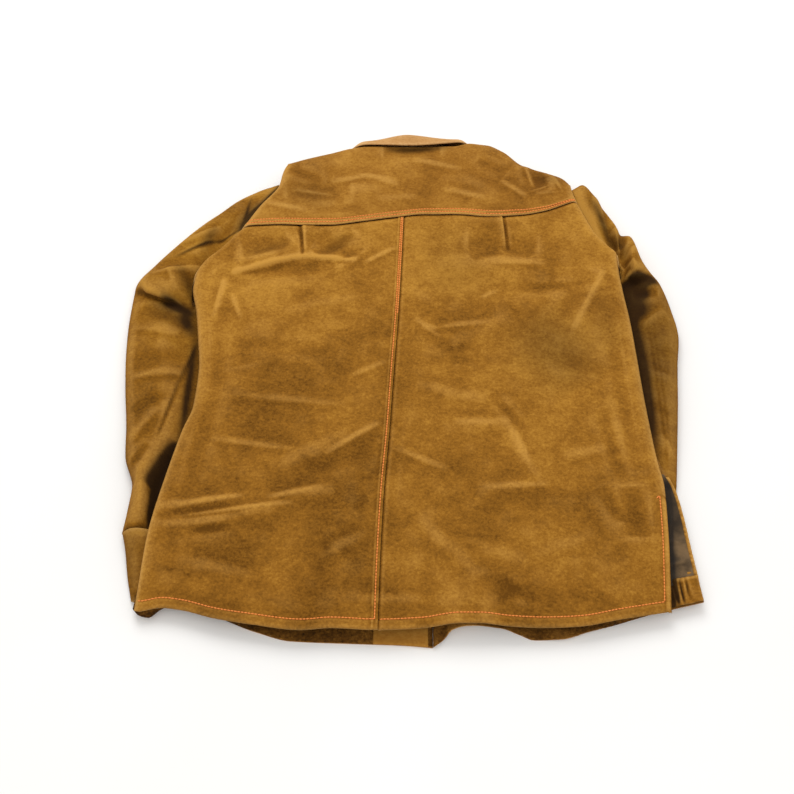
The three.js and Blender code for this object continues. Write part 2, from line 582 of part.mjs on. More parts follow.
// Half of the back below the yoke. Its side edge is at u = 0 and the centre seam at u = 1.
function backPanel({ sideRoute, hem, seam, centre, lapped }) {
  const topEdge = shifted(seam, 0, -SEAM_GAP);
  const belowSeam = (whole) => (v) => shifted(whole, 0, -SEAM_GAP * v)(v);
  const panelPlan = patch({ bottom: hem, top: topEdge, left: belowSeam(sideRoute), right: belowSeam(centre) });
  const surface = (u, v) => {
    const plan = panelPlan(u, v);
    const side = sideRoute(v);
    const fromSide = Math.hypot(plan.x - side.x, plan.y - side.y);
    const seamAway = Math.hypot(plan.x - centre(v).x, plan.y - centre(v).y);
    const lap = lapped ? LAP * smooth((LAP_WIDTH - seamAway) / LAP_STEP) : 0;
    const hemTop = hem(u).z + HEM_EXTRA + SUEDE;
    const hemLift = (hemTop - backHeight(hem(u).y)) * (1 - smooth(v / HEM_RISE_SHARE));
    const folds = foldHeight(BACK_FOLDS, plan.x, plan.y) + pleatHeight(plan.x, plan.y);
    const full = backHeight(plan.y) + hemLift + folds * smooth(v / FOLD_START_SHARE) + lap;
    return new THREE.Vector3(plan.x, plan.y, mix(side.edge, full, roll(fromSide, SIDE_ROLL)));
  };
  const wall = (u, v) => SUEDE + (v <= HEM_SHARE ? HEM_EXTRA * clamp01(u / HEM_CORNER_SHARE) : 0);
  const square = (u, v) => new THREE.Vector3(smooth((1 - u) / SEAM_SHARE), smooth((1 - v) / SEAM_SHARE), 1);
  return { surface, wall, square };
}

const LEFT_COLUMNS = [0, 0.008, 0.024, 0.05, 0.09, 0.14, 0.2, 0.26, 0.32, 0.36, 0.39, 0.42, 0.46, 0.51];
const RIGHT_COLUMNS = [0, 0.008, 0.024, 0.05, 0.09, 0.14, 0.2, 0.26, 0.32, 0.37, 0.41, 0.44, 0.47, 0.52];
const CENTRE_COLUMNS = [0.58, 0.66, 0.74, 0.82, 0.9, 0.955, 0.972, 1];
const HEM_SHARE = HEM_TURN / PANEL_LENGTH;
const HEM_STEP = 1.2;
const BACK_ROWS = [0, HEM_SHARE, HEM_SHARE * HEM_STEP, ...steps(26).slice(1)];

function buildBack() {
  const sides = [
    {
      name: "back_left",
      columns: [...LEFT_COLUMNS, ...CENTRE_COLUMNS],
      side: 1,
      sideRoute: leftSide,
      hem: stretch(hemWhole, 0, hemSplit),
      seam: stretch(yokeSeamWhole, 0, seamSplit),
      gap: 0,
    },
    {
      name: "back_right",
      columns: [...RIGHT_COLUMNS, ...CENTRE_COLUMNS],
      side: -1,
      sideRoute: rightSide,
      hem: reversed(stretch(hemWhole, hemSplit, 1)),
      seam: reversed(stretch(yokeSeamWhole, seamSplit, 1)),
      gap: SEAM_GAP,
    },
  ];
  return sides.map(({ name, columns, side, sideRoute, hem, seam, gap }) => {
    const panel = backPanel({
      sideRoute,
      hem: (u) => shifted(hem, gap * u, 0)(u),
      seam: (u) => shifted(seam, gap * u, 0)(u),
      centre: shifted(centreSeam, gap, 0),
      lapped: gap === 0,
    });
    return named(name, sheetGeometry({ us: columns, vs: BACK_ROWS, side, ...panel }), "suede");
  });
}

function buildYoke() {
  const seam = yokeSeamWhole;
  const shoulder = route(SHOULDER_LINE);
  const left = route(LEFT_ARMHOLE);
  const right = route(RIGHT_ARMHOLE);
  const plan = patch({ bottom: seam, top: shoulder, left, right });
  const surface = (u, v) => {
    const point = plan(u, v);
    const fromLeft = Math.hypot(point.x - left(v).x, point.y - left(v).y);
    const fromRight = Math.hypot(point.x - right(v).x, point.y - right(v).y);
    const top = shoulder(u);
    const fromTop = Math.hypot(point.x - top.x, point.y - top.y);
    const fromSeam = Math.hypot(point.x - seam(u).x, point.y - seam(u).y);
    const sideEdge = mix(left(v).edge, right(v).edge, u);
    const sides = Math.min(roll(fromLeft, SIDE_ROLL), roll(fromRight, SIDE_ROLL));
    const over = roll(fromTop, SHOULDER_ROLL);
    const lap = LAP * smooth((LAP_WIDTH - fromSeam) / LAP_STEP);
    const full = backHeight(point.y) + foldHeight(YOKE_FOLDS, point.x, point.y) + lap;
    const edge = sides < over ? sideEdge : top.edge;
    return new THREE.Vector3(point.x, point.y, mix(edge, full, Math.min(sides, over)));
  };
  const leftHalf = [...LEFT_COLUMNS, ...CENTRE_COLUMNS].map((u) => u * seamSplit);
  const rightHalf = [...RIGHT_COLUMNS, ...CENTRE_COLUMNS].map((u) => 1 - u * (1 - seamSplit));
  const us = [...leftHalf, ...rightHalf.reverse().slice(1)];
  const vs = [0, 0.07, 0.11, 0.25, 0.4, 0.55, 0.7, 0.8, 0.88, 0.94, 0.98, 1];
  const square = (u, v) => new THREE.Vector3(1, smooth(v / YOKE_SEAM_SHARE), 1);
  return named("back_yoke", sheetGeometry({ us, vs, surface, wall: () => SUEDE, side: 1, square }), "suede");
}

// Reads every column of a station table at a distance along it.
function stationReader(rows) {
  const columns = Object.keys(rows[0]).filter((column) => column !== "at");
  const read = Object.fromEntries(columns.map((column) => [column, track(rows, "at", column)]));
  return (at) => Object.fromEntries(columns.map((column) => [column, read[column](at)]));
}

// Moves each point of a closed outline into it, square to the line between its neighbours.
function insetOutline(outline, depth) {
  return outline.map((point, i) => {
    const before = outline[(i + outline.length - 1) % outline.length];
    const after = outline[(i + 1) % outline.length];
    const length = Math.hypot(after.d - before.d, after.z - before.z);
    return {
      d: point.d + (depth * (after.z - before.z)) / length,
      z: point.z - (depth * (after.d - before.d)) / length,
    };
  });
}

// A flattened tube lying on its lower half: a crest near the outer edge and a flat hidden half.
function flatTube({ rows, ats, across, wall, armhole, fade }) {
  const read = stationReader(rows);
  const ringsAt = (at) => {
    const station = read(at);
    const width = Math.hypot(station.inX - station.outX, station.inY - station.outY);
    const bow = armhole ? 1 - smooth(at / fade) : 0;
    const profile = (share, upper) => {
      const d = share * width;
      const hidden = smooth((d - station.crest) / station.fall);
      const climb = mix(CREST_START, 1, Math.sin((Math.PI / 2) * clamp01(d / station.crest)));
      const crown = mix(station.crestZ * climb, station.innerZ, hidden);
      const seat = Math.min(mix(OUTER_SEAT, SLEEVE_SEAT, clamp01(d / SEAT_FADE)), crown / 2);
      const nose = Math.min(roll(d, SLEEVE_NOSE), roll(width - d, SLEEVE_SEAT));
      const foot = Math.min(roll(d, OUTER_FOOT), roll(width - d, SLEEVE_SEAT));
      return { d, z: station.lift + (upper ? mix(seat, crown, nose) : seat * (1 - foot)) };
    };
    const place = ({ d, z }) => {
      const share = d / width;
      const line = { x: mix(station.outX, station.inX, share), y: mix(station.outY, station.inY, share) };
      if (bow === 0) return new THREE.Vector3(line.x, line.y, z);
      const start = { x: mix(rows[0].outX, rows[0].inX, share), y: mix(rows[0].outY, rows[0].inY, share) };
      const curve = armhole(clamp01(share));
      return new THREE.Vector3(line.x + bow * (curve.x - start.x), line.y + bow * (curve.y - start.y), z);
    };
    const upperHalf = across.map((share) => profile(share, true));
    const lowerHalf = [...across].slice(1, -1).reverse().map((share) => profile(share, false));
    const outline = [...upperHalf, ...lowerHalf];
    return { outer: outline.map(place), inner: insetOutline(outline, wall).map(place) };
  };
  const rings = ats.map(ringsAt);
  return { outer: rings.map((ring) => ring.outer), inner: rings.map((ring) => ring.inner) };
}

const TUBE_ACROSS = [0, 0.025, 0.08, 0.16, 0.26, 0.38, 0.5, 0.62, 0.74, 0.86, 0.96, 1];

function tubeMesh(name, settings, mirrored) {
  const { outer, inner } = flatTube(settings);
  const turned = (rings) => (mirrored ? rings.map((ring) => [...ring].reverse()) : rings);
  return named(name, wallGeometry(turned(outer), turned(inner), true), "suede");
}

function buildSleeves() {
  const armholeEdge = (sideRows, armRows, { low, high }, outward) => {
    const points = [...sideRows, ...armRows.slice(1)].filter((row) => row.y >= low && row.y <= high).reverse();
    return shifted(route(points.map(({ x, y }) => ({ x, y }))), outward, 0);
  };
  const leftEdge = armholeEdge(LEFT_SIDE, LEFT_ARMHOLE, LEFT_ARMHOLE_SPAN, -SLEEVE_GAP);
  const rightEdge = armholeEdge(RIGHT_SIDE, RIGHT_ARMHOLE, RIGHT_ARMHOLE_SPAN, SLEEVE_GAP);
  const along = (rows, extra) => {
    const end = rows[rows.length - 1].at;
    const apart = (at) => extra.every((near) => Math.abs(near - at) > RING_APART);
    const even = steps(RING_STEPS).map((share) => share * end).filter(apart);
    return [...even, ...extra].sort((a, b) => a - b);
  };
  const cuff = { across: TUBE_ACROSS, wall: CUFF_WALL };
  return [
    tubeMesh(
      "sleeve_left",
      {
        rows: LEFT_SLEEVE,
        ats: along(LEFT_SLEEVE, LEFT_EXTRA_RINGS),
        across: TUBE_ACROSS,
        wall: SUEDE,
        armhole: leftEdge,
        fade: ARMHOLE_FADE,
      },
      true,
    ),
    tubeMesh(
      "sleeve_right",
      {
        rows: RIGHT_SLEEVE,
        ats: along(RIGHT_SLEEVE, RIGHT_EXTRA_RINGS),
        across: TUBE_ACROSS,
        wall: SUEDE,
        armhole: rightEdge,
        fade: ARMHOLE_FADE,
      },
      false,
    ),
    tubeMesh("cuff_left", { rows: LEFT_CUFF, ats: [0, 20, 40, 62, 83], ...cuff }, true),
    tubeMesh("cuff_right", { rows: RIGHT_CUFF, ats: [0, 26, 52, 78], ...cuff }, false),
  ];
}

const shoulderY = track(SHOULDER_LINE, "x", "y");
const shoulderEdge = track(SHOULDER_LINE, "x", "edge");

// A front lies on the table, climbs over the hidden half of the sleeve and meets the back's edge.
function frontPanel({ bottom, top, left, right, sideOf, shelf, plackets }) {
  const plan = patch({ bottom, top, left, right });
  const reach = track(shelf, "y", "reach");
  const level = track(shelf, "y", "level");
  return (u, v) => {
    const point = plan(u, v);
    const side = sideOf(v);
    const fromSide = Math.hypot(point.x - side.x, point.y - side.y);
    const tuck = EDGE_GAP + SUEDE + TIP_TUCK * smooth((v - 1) / TIP_SHARE + 1);
    const edgeZ = Math.max(side.edge - tuck, 0);
    const shelfZ = Math.min(level(point.y), edgeZ);
    const climb = mix(edgeZ, shelfZ, smooth(fromSide / SIDE_RISE));
    const sideZ = climb * (1 - smooth((fromSide - reach(point.y)) / SHELF_FADE));
    const fromTop = Math.max(shoulderY(point.x) - point.y, 0);
    const topZ = (shoulderEdge(point.x) - tuck) * (1 - smooth(fromTop / TOP_FADE));
    const hemZ = bottom(u).z * (1 - smooth(v / FRONT_HEM_SHARE));
    return new THREE.Vector3(point.x, point.y, Math.max(sideZ, topZ, hemZ, plackets(point)));
  };
}

// Shares across the fronts. The facing and the lining lie on the same points as the front itself.
const FRONT_COLUMNS = [0, 0.03, 0.07, 0.12, 0.18, 0.25, 0.32, 0.38, 0.44, 0.5, 0.58, 0.7];
const FACING_COLUMNS = [0.81, 0.9, 0.985];
const PLACKET_COLUMNS = [0, 0.05, 0.1, 0.15, 0.2, 0.3, 0.4, 0.48, 0.54, 0.6, 0.66, 0.72];
const LINING_COLUMNS = [0.79, 0.86, 0.92, 0.98];
const ARMPIT_ROWS = [0.58, 0.61, 0.64, 0.67, 0.7, 0.73, 0.76, 0.8, 0.84, 0.88, 0.92, 0.96, 1];
const FRONT_ROWS = [0, 0.013, 0.03, 0.05, 0.085, 0.13, 0.175, 0.21, 0.3, 0.4, 0.5, ...ARMPIT_ROWS];
const LINING_ROWS = [0.05, 0.085, 0.13, 0.175, 0.21];

function buildFronts() {
  const leftWhole = route([...FRONT_CORNER, ...LEFT_SIDE.slice(1), ...LEFT_ARMHOLE.slice(1)]);
  const rightWhole = route([
    ...VENT_FLAP,
    ...RIGHT_SIDE.filter((row) => row.y > FLAP_TOP),
    ...RIGHT_ARMHOLE.slice(1),
  ]);
  const neckRight = [...FRONT_NECK_RIGHT].reverse();
  const shoulderLeft = SHOULDER_LINE.filter((row) => row.x <= FRONT_NECK_LEFT[0].x);
  const shoulderRight = SHOULDER_LINE.filter((row) => row.x >= neckRight[0].x).reverse();
  const planOf = ({ x, y }) => ({ x, y });
  const topLeft = route([...shoulderLeft, ...FRONT_NECK_LEFT.slice(1)].map(planOf));
  const topRight = reversed(route([...shoulderRight, ...neckRight.slice(1)].map(planOf)));
  const neckRise = (point) => {
    const beside = NECK_RISE.reach - Math.abs(point.x - NECK_RISE.middle);
    const up = smooth((point.y - NECK_RISE.from) / NECK_RISE.ramp);
    return NECK_RISE.height * up * smooth(beside / NECK_RISE.fade);
  };
  const buttonRise = (point) => {
    const reachIn = PLACKET_WIDTH + BUTTON_RAMP - (point.x - FRONT_NECK_RIGHT[0].x);
    return (BUTTON.thickness + BUTTON_CLEARANCE) * smooth(reachIn / BUTTON_RAMP);
  };
  const leftSurface = frontPanel({
    bottom: route(FRONT_HEM_LEFT),
    top: topLeft,
    left: leftWhole,
    right: route(FRONT_EDGE_LEFT),
    sideOf: leftWhole,
    shelf: SHELF_LEFT,
    plackets: neckRise,
  });
  const rightSurface = frontPanel({
    bottom: route(FRONT_HEM_RIGHT),
    top: topRight,
    left: route(FRONT_EDGE_RIGHT),
    right: rightWhole,
    sideOf: rightWhole,
    shelf: SHELF_RIGHT,
    plackets: (point) => Math.max(neckRise(point), buttonRise(point)),
  });
  const front = (name, us, surface) =>
    named(name, sheetGeometry({ us, vs: FRONT_ROWS, surface, wall: () => SUEDE, side: -1 }), "suede");
  return [
    front("front_left", [...FRONT_COLUMNS, ...FACING_COLUMNS, 1], leftSurface),
    front("front_right", [...PLACKET_COLUMNS, ...LINING_COLUMNS, 1], rightSurface),
    ...buildInside(leftSurface, rightSurface),
    ...buildButtons(),
  ];
}

// What shows inside the open hem and vent: the left front's facing and a corner of the lining.
function buildInside(leftSurface, rightSurface) {
  const raised = (surface, u, v, rise) => {
    const point = surface(u, v);
    point.z += rise;
    return point;
  };
  const facing = sheetGeometry({
    us: FACING_COLUMNS,
    vs: FRONT_ROWS,
    surface: (u, v) => raised(leftSurface, u, v, SUEDE + SEAM_GAP),
    wall: () => FACING,
    side: -1,
  });
  const lining = sheetGeometry({
    us: LINING_COLUMNS,
    vs: LINING_ROWS,
    surface: (u, v) => raised(rightSurface, u, v, SUEDE + SEAM_GAP),
    wall: () => LINING,
    side: -1,
  });
  return [named("front_facing", facing, "facing"), named("lining", lining, "lining")];
}

function buildButtons() {
  const edge = route(FRONT_EDGE_RIGHT);
  return BUTTON.heights.map((y, i) => {
    const geometry = new THREE.CylinderGeometry(BUTTON.radius, BUTTON.radius, BUTTON.thickness, BUTTON.sides);
    geometry.rotateX(Math.PI / 2);
    const share = clamp01((y - FRONT_EDGE_RIGHT[0].y) / (FRONT_NECK_RIGHT[0].y - FRONT_EDGE_RIGHT[0].y));
    geometry.translate(edge(share).x + BUTTON.inset, y, BUTTON.thickness / 2);
    return named(`button_${i + 1}`, geometry, "button");
  });
}

function buildCollar() {
  const standAt = stationReader(COLLAR_STAND);
  const fallAt = stationReader(COLLAR_FALL);
  const middle = COLLAR_SHARES[COLLAR_SHARES.length - 1];
  const other = COLLAR_SHARES.slice(0, -1).reverse().map((share) => 2 * middle - share);
  const us = [...COLLAR_SHARES, ...other].map((share) => share / (2 * middle));
  const stand = (u, v) => {
    const row = standAt(u * 2 * middle);
    return new THREE.Vector3(mix(row.x, row.topX, v), mix(row.y, row.topY, v), mix(row.z, row.topZ, v));
  };
  const fall = (u, v) => {
    const row = fallAt(u * 2 * middle);
    const bulge = FALL_BULGE.height * Math.sin(Math.PI * v) * smooth((row.freeZ - FALL_BULGE.from) / FALL_BULGE.ramp);
    const lie = new THREE.Vector3(mix(row.x, row.freeX, v), mix(row.y, row.freeY, v), mix(row.z, row.freeZ, v));
    return lie.add(new THREE.Vector3(0, bulge / 2, bulge));
  };
  const wall = () => SUEDE;
  return [
    named("collar_stand", sheetGeometry({ us, vs: steps(3), surface: stand, wall, side: 1 }), "collar"),
    named("collar_fall", sheetGeometry({ us, vs: steps(5), surface: fall, wall, side: -1 }), "collar"),
  ];
}

const jacket = new THREE.Group();
jacket.name = "suede_jacket";
jacket.add(...buildBack(), buildYoke(), ...buildSleeves(), ...buildFronts(), ...buildCollar());
jacket.position.set(-LAY_CENTRE.x, -LAY_CENTRE.y, 0);

export default jacket;
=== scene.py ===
"""A tan suede shirt jacket laid face down on a pale floor, its back up and its hem towards the camera.

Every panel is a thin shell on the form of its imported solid. The tables hold the garment's own sizes
in millimetres, in the frame in which it was laid out; LAY_CENTRE is the middle of the whole part there.
"""

import logging
import math
from dataclasses import dataclass, field
from enum import Enum
from typing import Any, Callable, NamedTuple, Sequence

import bmesh
import bpy
import numpy as np
from mathutils import Matrix, Vector


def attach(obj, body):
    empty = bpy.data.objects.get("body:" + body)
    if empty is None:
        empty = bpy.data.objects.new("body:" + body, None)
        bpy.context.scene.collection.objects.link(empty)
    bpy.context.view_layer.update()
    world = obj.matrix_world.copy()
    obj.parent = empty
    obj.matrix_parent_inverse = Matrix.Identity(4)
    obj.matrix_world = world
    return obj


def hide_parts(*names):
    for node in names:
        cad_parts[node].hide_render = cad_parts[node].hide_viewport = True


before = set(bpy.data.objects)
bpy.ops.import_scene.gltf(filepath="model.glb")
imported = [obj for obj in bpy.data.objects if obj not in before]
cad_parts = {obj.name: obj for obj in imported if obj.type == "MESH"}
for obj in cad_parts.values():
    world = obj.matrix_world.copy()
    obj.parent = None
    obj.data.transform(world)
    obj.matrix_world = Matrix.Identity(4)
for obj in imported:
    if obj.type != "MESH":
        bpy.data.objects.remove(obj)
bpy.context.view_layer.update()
BODY = "root"
log = logging.getLogger("jacket")

MM = 0.001
LAY_CENTRE = np.array((7.1, 56.0, 0.0))

# Cloth and seams
SUEDE = 1.8
THIN_SUEDE = 1.2
LINING_WALL = 0.8
CUFF_WALL = 2.4
SEAM_GAP = 0.3
EDGE_GAP = 0.9
SLEEVE_GAP = 2.1
TIP_TUCK = 1.3
TIP_FROM = 0.92
LAP = 1.3
LAP_WIDTH = 9.0
HEM_TURN = 13.0
HEM_EXTRA = 1.5
PANEL_LENGTH = 570.0
PANEL_WIDTH = 300.0
YOKE_DEPTH = 140.0
YOKE_LENGTH = 450.0
FRONT_LENGTH = 700.0
CUFF_DEPTH = 83.0
FACING_WALL = 1.6
HEM_RISE_SHARE = 0.16
SIDE_ROLL = 12.0
SHOULDER_ROLL = 26.0
FOLD_TAPER = 0.7

# Stitch rows, by their distance from the edge that they hold
HEM_ROW = 11.5
VENT_ROW = 8.0
YOKE_ROWS = (4.0, 10.0)
SEAM_ROW = 4.2
STITCH_PULL = 0.75
STITCH_PULL_WIDTH = 1.5
STITCH_JITTER = 0.15
STITCH_TILT = 0.06
STITCH_FLATNESS = 0.8
PATH_SAMPLES = 1500
PATH_FILL = 200
SHARE_SAMPLES = 4001
ROW_START = 0.012
YOKE_ROW_END = 0.99
HOOK_WIDTH = 0.012
HOOK_DROP = 0.006
SECOND_ROW = 0.009
SECOND_ROW_FROM = 0.72

# Turned edges and seams
WELT_RISE = 0.9
WELT_START = 3.0
WELT_END = 4.0
WELT_SPARE = 2.0
HEM_CALM = 34.0
CORNER_RAMP = 4.0
LAP_RAMP = 3.0
SEAM_PULL = 0.6
SEAM_PULL_WIDTH = 1.4
SEAM_DIP = 1.3
SEAM_DIP_WIDTH = 2.0
SEAM_SWELL = 0.3
SEAM_SWELL_AT = 4.0
SEAM_SWELL_WIDTH = 3.0
YOKE_DIP = 0.9
YOKE_DIP_WIDTH = 2.5
YOKE_LAP = 15.0
YOKE_LAP_RAMP = 9.0
YOKE_TURN = 13.0
PLEAT_HOLD = 16.0
PLEAT_PRESS = 0.7
PLEAT_EDGE = 1.6
GROOVE_DEPTH = 2.6
GROOVE_OFF = 3.6
GROOVE_WIDTH = 2.4
GROOVE_END = 12.0

# The side vent, by its share of the back's length
VENT_TOP = 0.229
VENT_FADE = 0.02
VENT_TURN = 11.0
VENT_RAMP = 5.0
VENT_ROLL = 5.0
VENT_HEM_DEPTH = 0.05
VENT_HEM_HEIGHT = 44.0

# How the relief of the cloth is read, and how much its ridges are lightened as painted highlight and rub wear
RELIEF_PASSES = 14
RELIEF_LIMIT = 1.5
RELIEF_FADE = 0.04
RIDGE_HIGHLIGHT_AND_WEAR_LIMIT = 0.6
RIDGE_HIGHLIGHT_AND_WEAR_SHARE = 0.7
WELD_REACH = 1e-6

Surface = Callable[[np.ndarray, np.ndarray], np.ndarray]
Reader = Callable[[np.ndarray], np.ndarray]


class Spot(NamedTuple):
    """A point of an edge in plan, with the height or the edge height that goes with it."""

    x: float
    y: float
    z: float = 0.0


class Fold(NamedTuple):
    """A soft ridge or, below 0, a trough along a line; steep narrows the side on the line's right."""

    x1: float
    y1: float
    x2: float
    y2: float
    width: float
    height: float
    steep: float = 1.0


class Pleat(NamedTuple):
    """A folded tuck under the yoke, which stands up on the side that towards gives."""

    x: float
    top: float
    bottom: float
    towards: float
    rise: float
    spread: float
    slant: float


class Station(NamedTuple):
    """A section of a sleeve: its outer and inner edge in plan, its crest and its hidden half."""

    at: float
    out_x: float
    out_y: float
    in_x: float
    in_y: float
    crest: float
    crest_z: float
    fall: float
    inner_z: float
    lift: float = 0.0


class CollarRow(NamedTuple):
    """A line across a collar piece, from its seam to its other edge."""

    at: float
    x: float
    y: float
    z: float
    far_x: float
    far_y: float
    far_z: float


class Gather(NamedTuple):
    """A small pleat of the gathered hem: its place across, its depth and how far it leans."""

    at: float
    depth: float
    lean: float


class Layer(NamedTuple):
    """A noise of a finish: its scale, its detail, how warped it is and how rough."""

    scale: float
    detail: float = 2.0
    warp: float = 0.0
    rough: float = 0.5


class WearAndHighlight(NamedTuple):
    """A line of cloth lightened by rub wear and, along the rolled side edge, by painted highlight: its
    strength, its distance from an edge and its width.
    """

    share: float
    at: float
    width: float


class Lamp(NamedTuple):
    """A soft light: its place and size in metres, and its power."""

    name: str
    place: tuple[float, float, float]
    size: float
    power: float


class Level(NamedTuple):
    """A value and a second one at a distance up the body."""

    y: float
    first: float
    second: float = 0.0


# Where the cloth is lighter: rub wear, and along the rolled side edge a painted highlight
SIDE_PAINTED_HIGHLIGHT = WearAndHighlight(0.85, 1.0, 3.2)
HEM_RUB = WearAndHighlight(0.45, 0.0, 2.5)
YOKE_RUB = WearAndHighlight(0.7, 1.5, 2.5)
YOKE_END_RUB = WearAndHighlight(0.8, 0.0, 4.0)
CUFF_SEAM_RUB = WearAndHighlight(0.9, 0.0, 3.0)
CUFF_END_RUB = WearAndHighlight(0.7, 0.0, 3.0)
VENT_HEM_RUB = WearAndHighlight(0.5, 2.0, 3.0)
FLAP_RUB = WearAndHighlight(0.8, 0.0, 2.2)

# The edges of the back and yoke, in plan
LEFT_SIDE = (
    Spot(-289, -295, 12), Spot(-287, -264, 16), Spot(-283, -211, 23), Spot(-271, -142, 28),
    Spot(-256, -70, 28), Spot(-246, -33, 28), Spot(-244, 16, 28), Spot(-249, 66, 28), Spot(-256, 114, 28),
    Spot(-263, 150, 28), Spot(-261, 175, 28), Spot(-252, 195, 28), Spot(-235, 214, 28), Spot(-208, 249, 28),
)
LEFT_ARMHOLE = (
    Spot(-208, 249, 28), Spot(-188, 288, 27), Spot(-163, 330, 25), Spot(-161, 342, 23.5),
    Spot(-159, 357, 21), Spot(-150, 377, 16),
)
RIGHT_SIDE = (
    Spot(301, -299, 15), Spot(304, -262, 17), Spot(307, -212, 22), Spot(309, -146, 28), Spot(305, -112, 28),
    Spot(302, -70, 28), Spot(299, -10, 28), Spot(297, 50, 28), Spot(295, 98, 28), Spot(291, 145, 28),
    Spot(289, 183, 28), Spot(289, 207, 28), Spot(278, 222, 28), Spot(264, 243, 28), Spot(253, 272, 28),
    Spot(245, 296, 28),
)
RIGHT_ARMHOLE = (
    Spot(245, 296, 28), Spot(241, 315, 26), Spot(238, 331, 24),
)
BACK_HEM = (
    Spot(-289, -295, 12), Spot(-283, -297.5, 12.5), Spot(-260, -294, 14), Spot(-238, -297, 15),
    Spot(-199, -308, 17), Spot(-160, -315, 18), Spot(-105, -322, 18), Spot(-72, -320, 19),
    Spot(-21, -322, 18), Spot(25, -320, 18), Spot(68, -316, 23), Spot(90, -316, 23), Spot(122, -318, 19),
    Spot(155, -319, 17), Spot(198, -317, 16), Spot(242, -309, 16), Spot(276, -303, 15), Spot(301, -299, 15),
)
YOKE_SEAM = (
    Spot(-208, 249), Spot(-183, 251), Spot(-156, 252), Spot(-125, 251), Spot(-89, 251), Spot(-51, 256),
    Spot(4, 266), Spot(39, 271), Spot(72, 271), Spot(127, 266), Spot(167, 268), Spot(195, 274),
    Spot(223, 286), Spot(245, 296),
)
SHOULDER_LINE = (
    Spot(-150, 377, 16), Spot(-122, 387, 16), Spot(-94, 395, 22), Spot(-66, 401, 32), Spot(-40, 402, 37),
    Spot(20, 400, 38), Spot(80, 402, 37), Spot(104, 411, 32), Spot(126, 412, 24), Spot(148, 402, 19),
    Spot(173, 375, 18), Spot(191, 366, 20), Spot(209, 357, 22), Spot(227, 347, 23), Spot(238, 331, 24),
)
CENTRE_SEAM = (
    Spot(-21, -322), Spot(-19, -248), Spot(-15, -159), Spot(-9, -77), Spot(-4, 11), Spot(2, 105),
    Spot(6, 188), Spot(9, 266.5),
)
# The back's height over the floor, and its larger folds
BACK_HEIGHT = (
    Level(-330, 21), Level(-290, 25), Level(-230, 31), Level(-150, 36), Level(0, 37), Level(150, 38),
    Level(260, 40), Level(340, 41), Level(410, 42),
)
BACK_FOLDS = (
    Fold(-286, -180, -164, -164, 11, 3.6), Fold(-274, -188, -173, -178, 9, -2.4),
    Fold(-286, -199, -106, -173, 10, 3.8), Fold(-168, -169, -70, -154, 10, 2.4),
    Fold(-150, -124, -8, -58, 16, 3.2), Fold(-120, -140, -20, -92, 14, -2.5),
    Fold(-215, 190, -70, 198, 15, 4.5), Fold(-205, 172, -80, 182, 14, -4),
    Fold(-205, 214, -145, 232, 12, -4), Fold(-118, 240, -52, 196, 17, -5), Fold(92, 222, 185, 214, 18, -5),
    Fold(50, 191, 200, 175, 18, 2.8), Fold(272, 188, 216, 78, 14, 3), Fold(254, 172, 192, 70, 16, -3),
    Fold(104, 142, 242, 147, 10, -1.6), Fold(52, -67, 138, -61, 14, 2.2),
    Fold(124, -52, 166, -155, 13, 2.5), Fold(88, -153, 160, -149, 13, 2.2),
    Fold(268, -150, 272, -215, 16, -4), Fold(-190, 20, -215, 120, 18, -3), Fold(60, 60, 150, 100, 20, 3),
)
YOKE_FOLDS = (
    Fold(-150, 312, -62, 316, 16, -4), Fold(-78, 300, 0, 342, 18, 3.5), Fold(-20, 392, 62, 394, 14, -5),
    Fold(180, 362, 196, 318, 13, -6), Fold(206, 340, 214, 312, 10, 3), Fold(60, 345, 140, 300, 20, 3),
    Fold(-135, 360, -60, 372, 16, 2.5),
)
PLEATS = (Pleat(-125, 253, 194, 1, 6, 26, 0.1), Pleat(139, 270, 206, -1, 5, 22, 0.065))

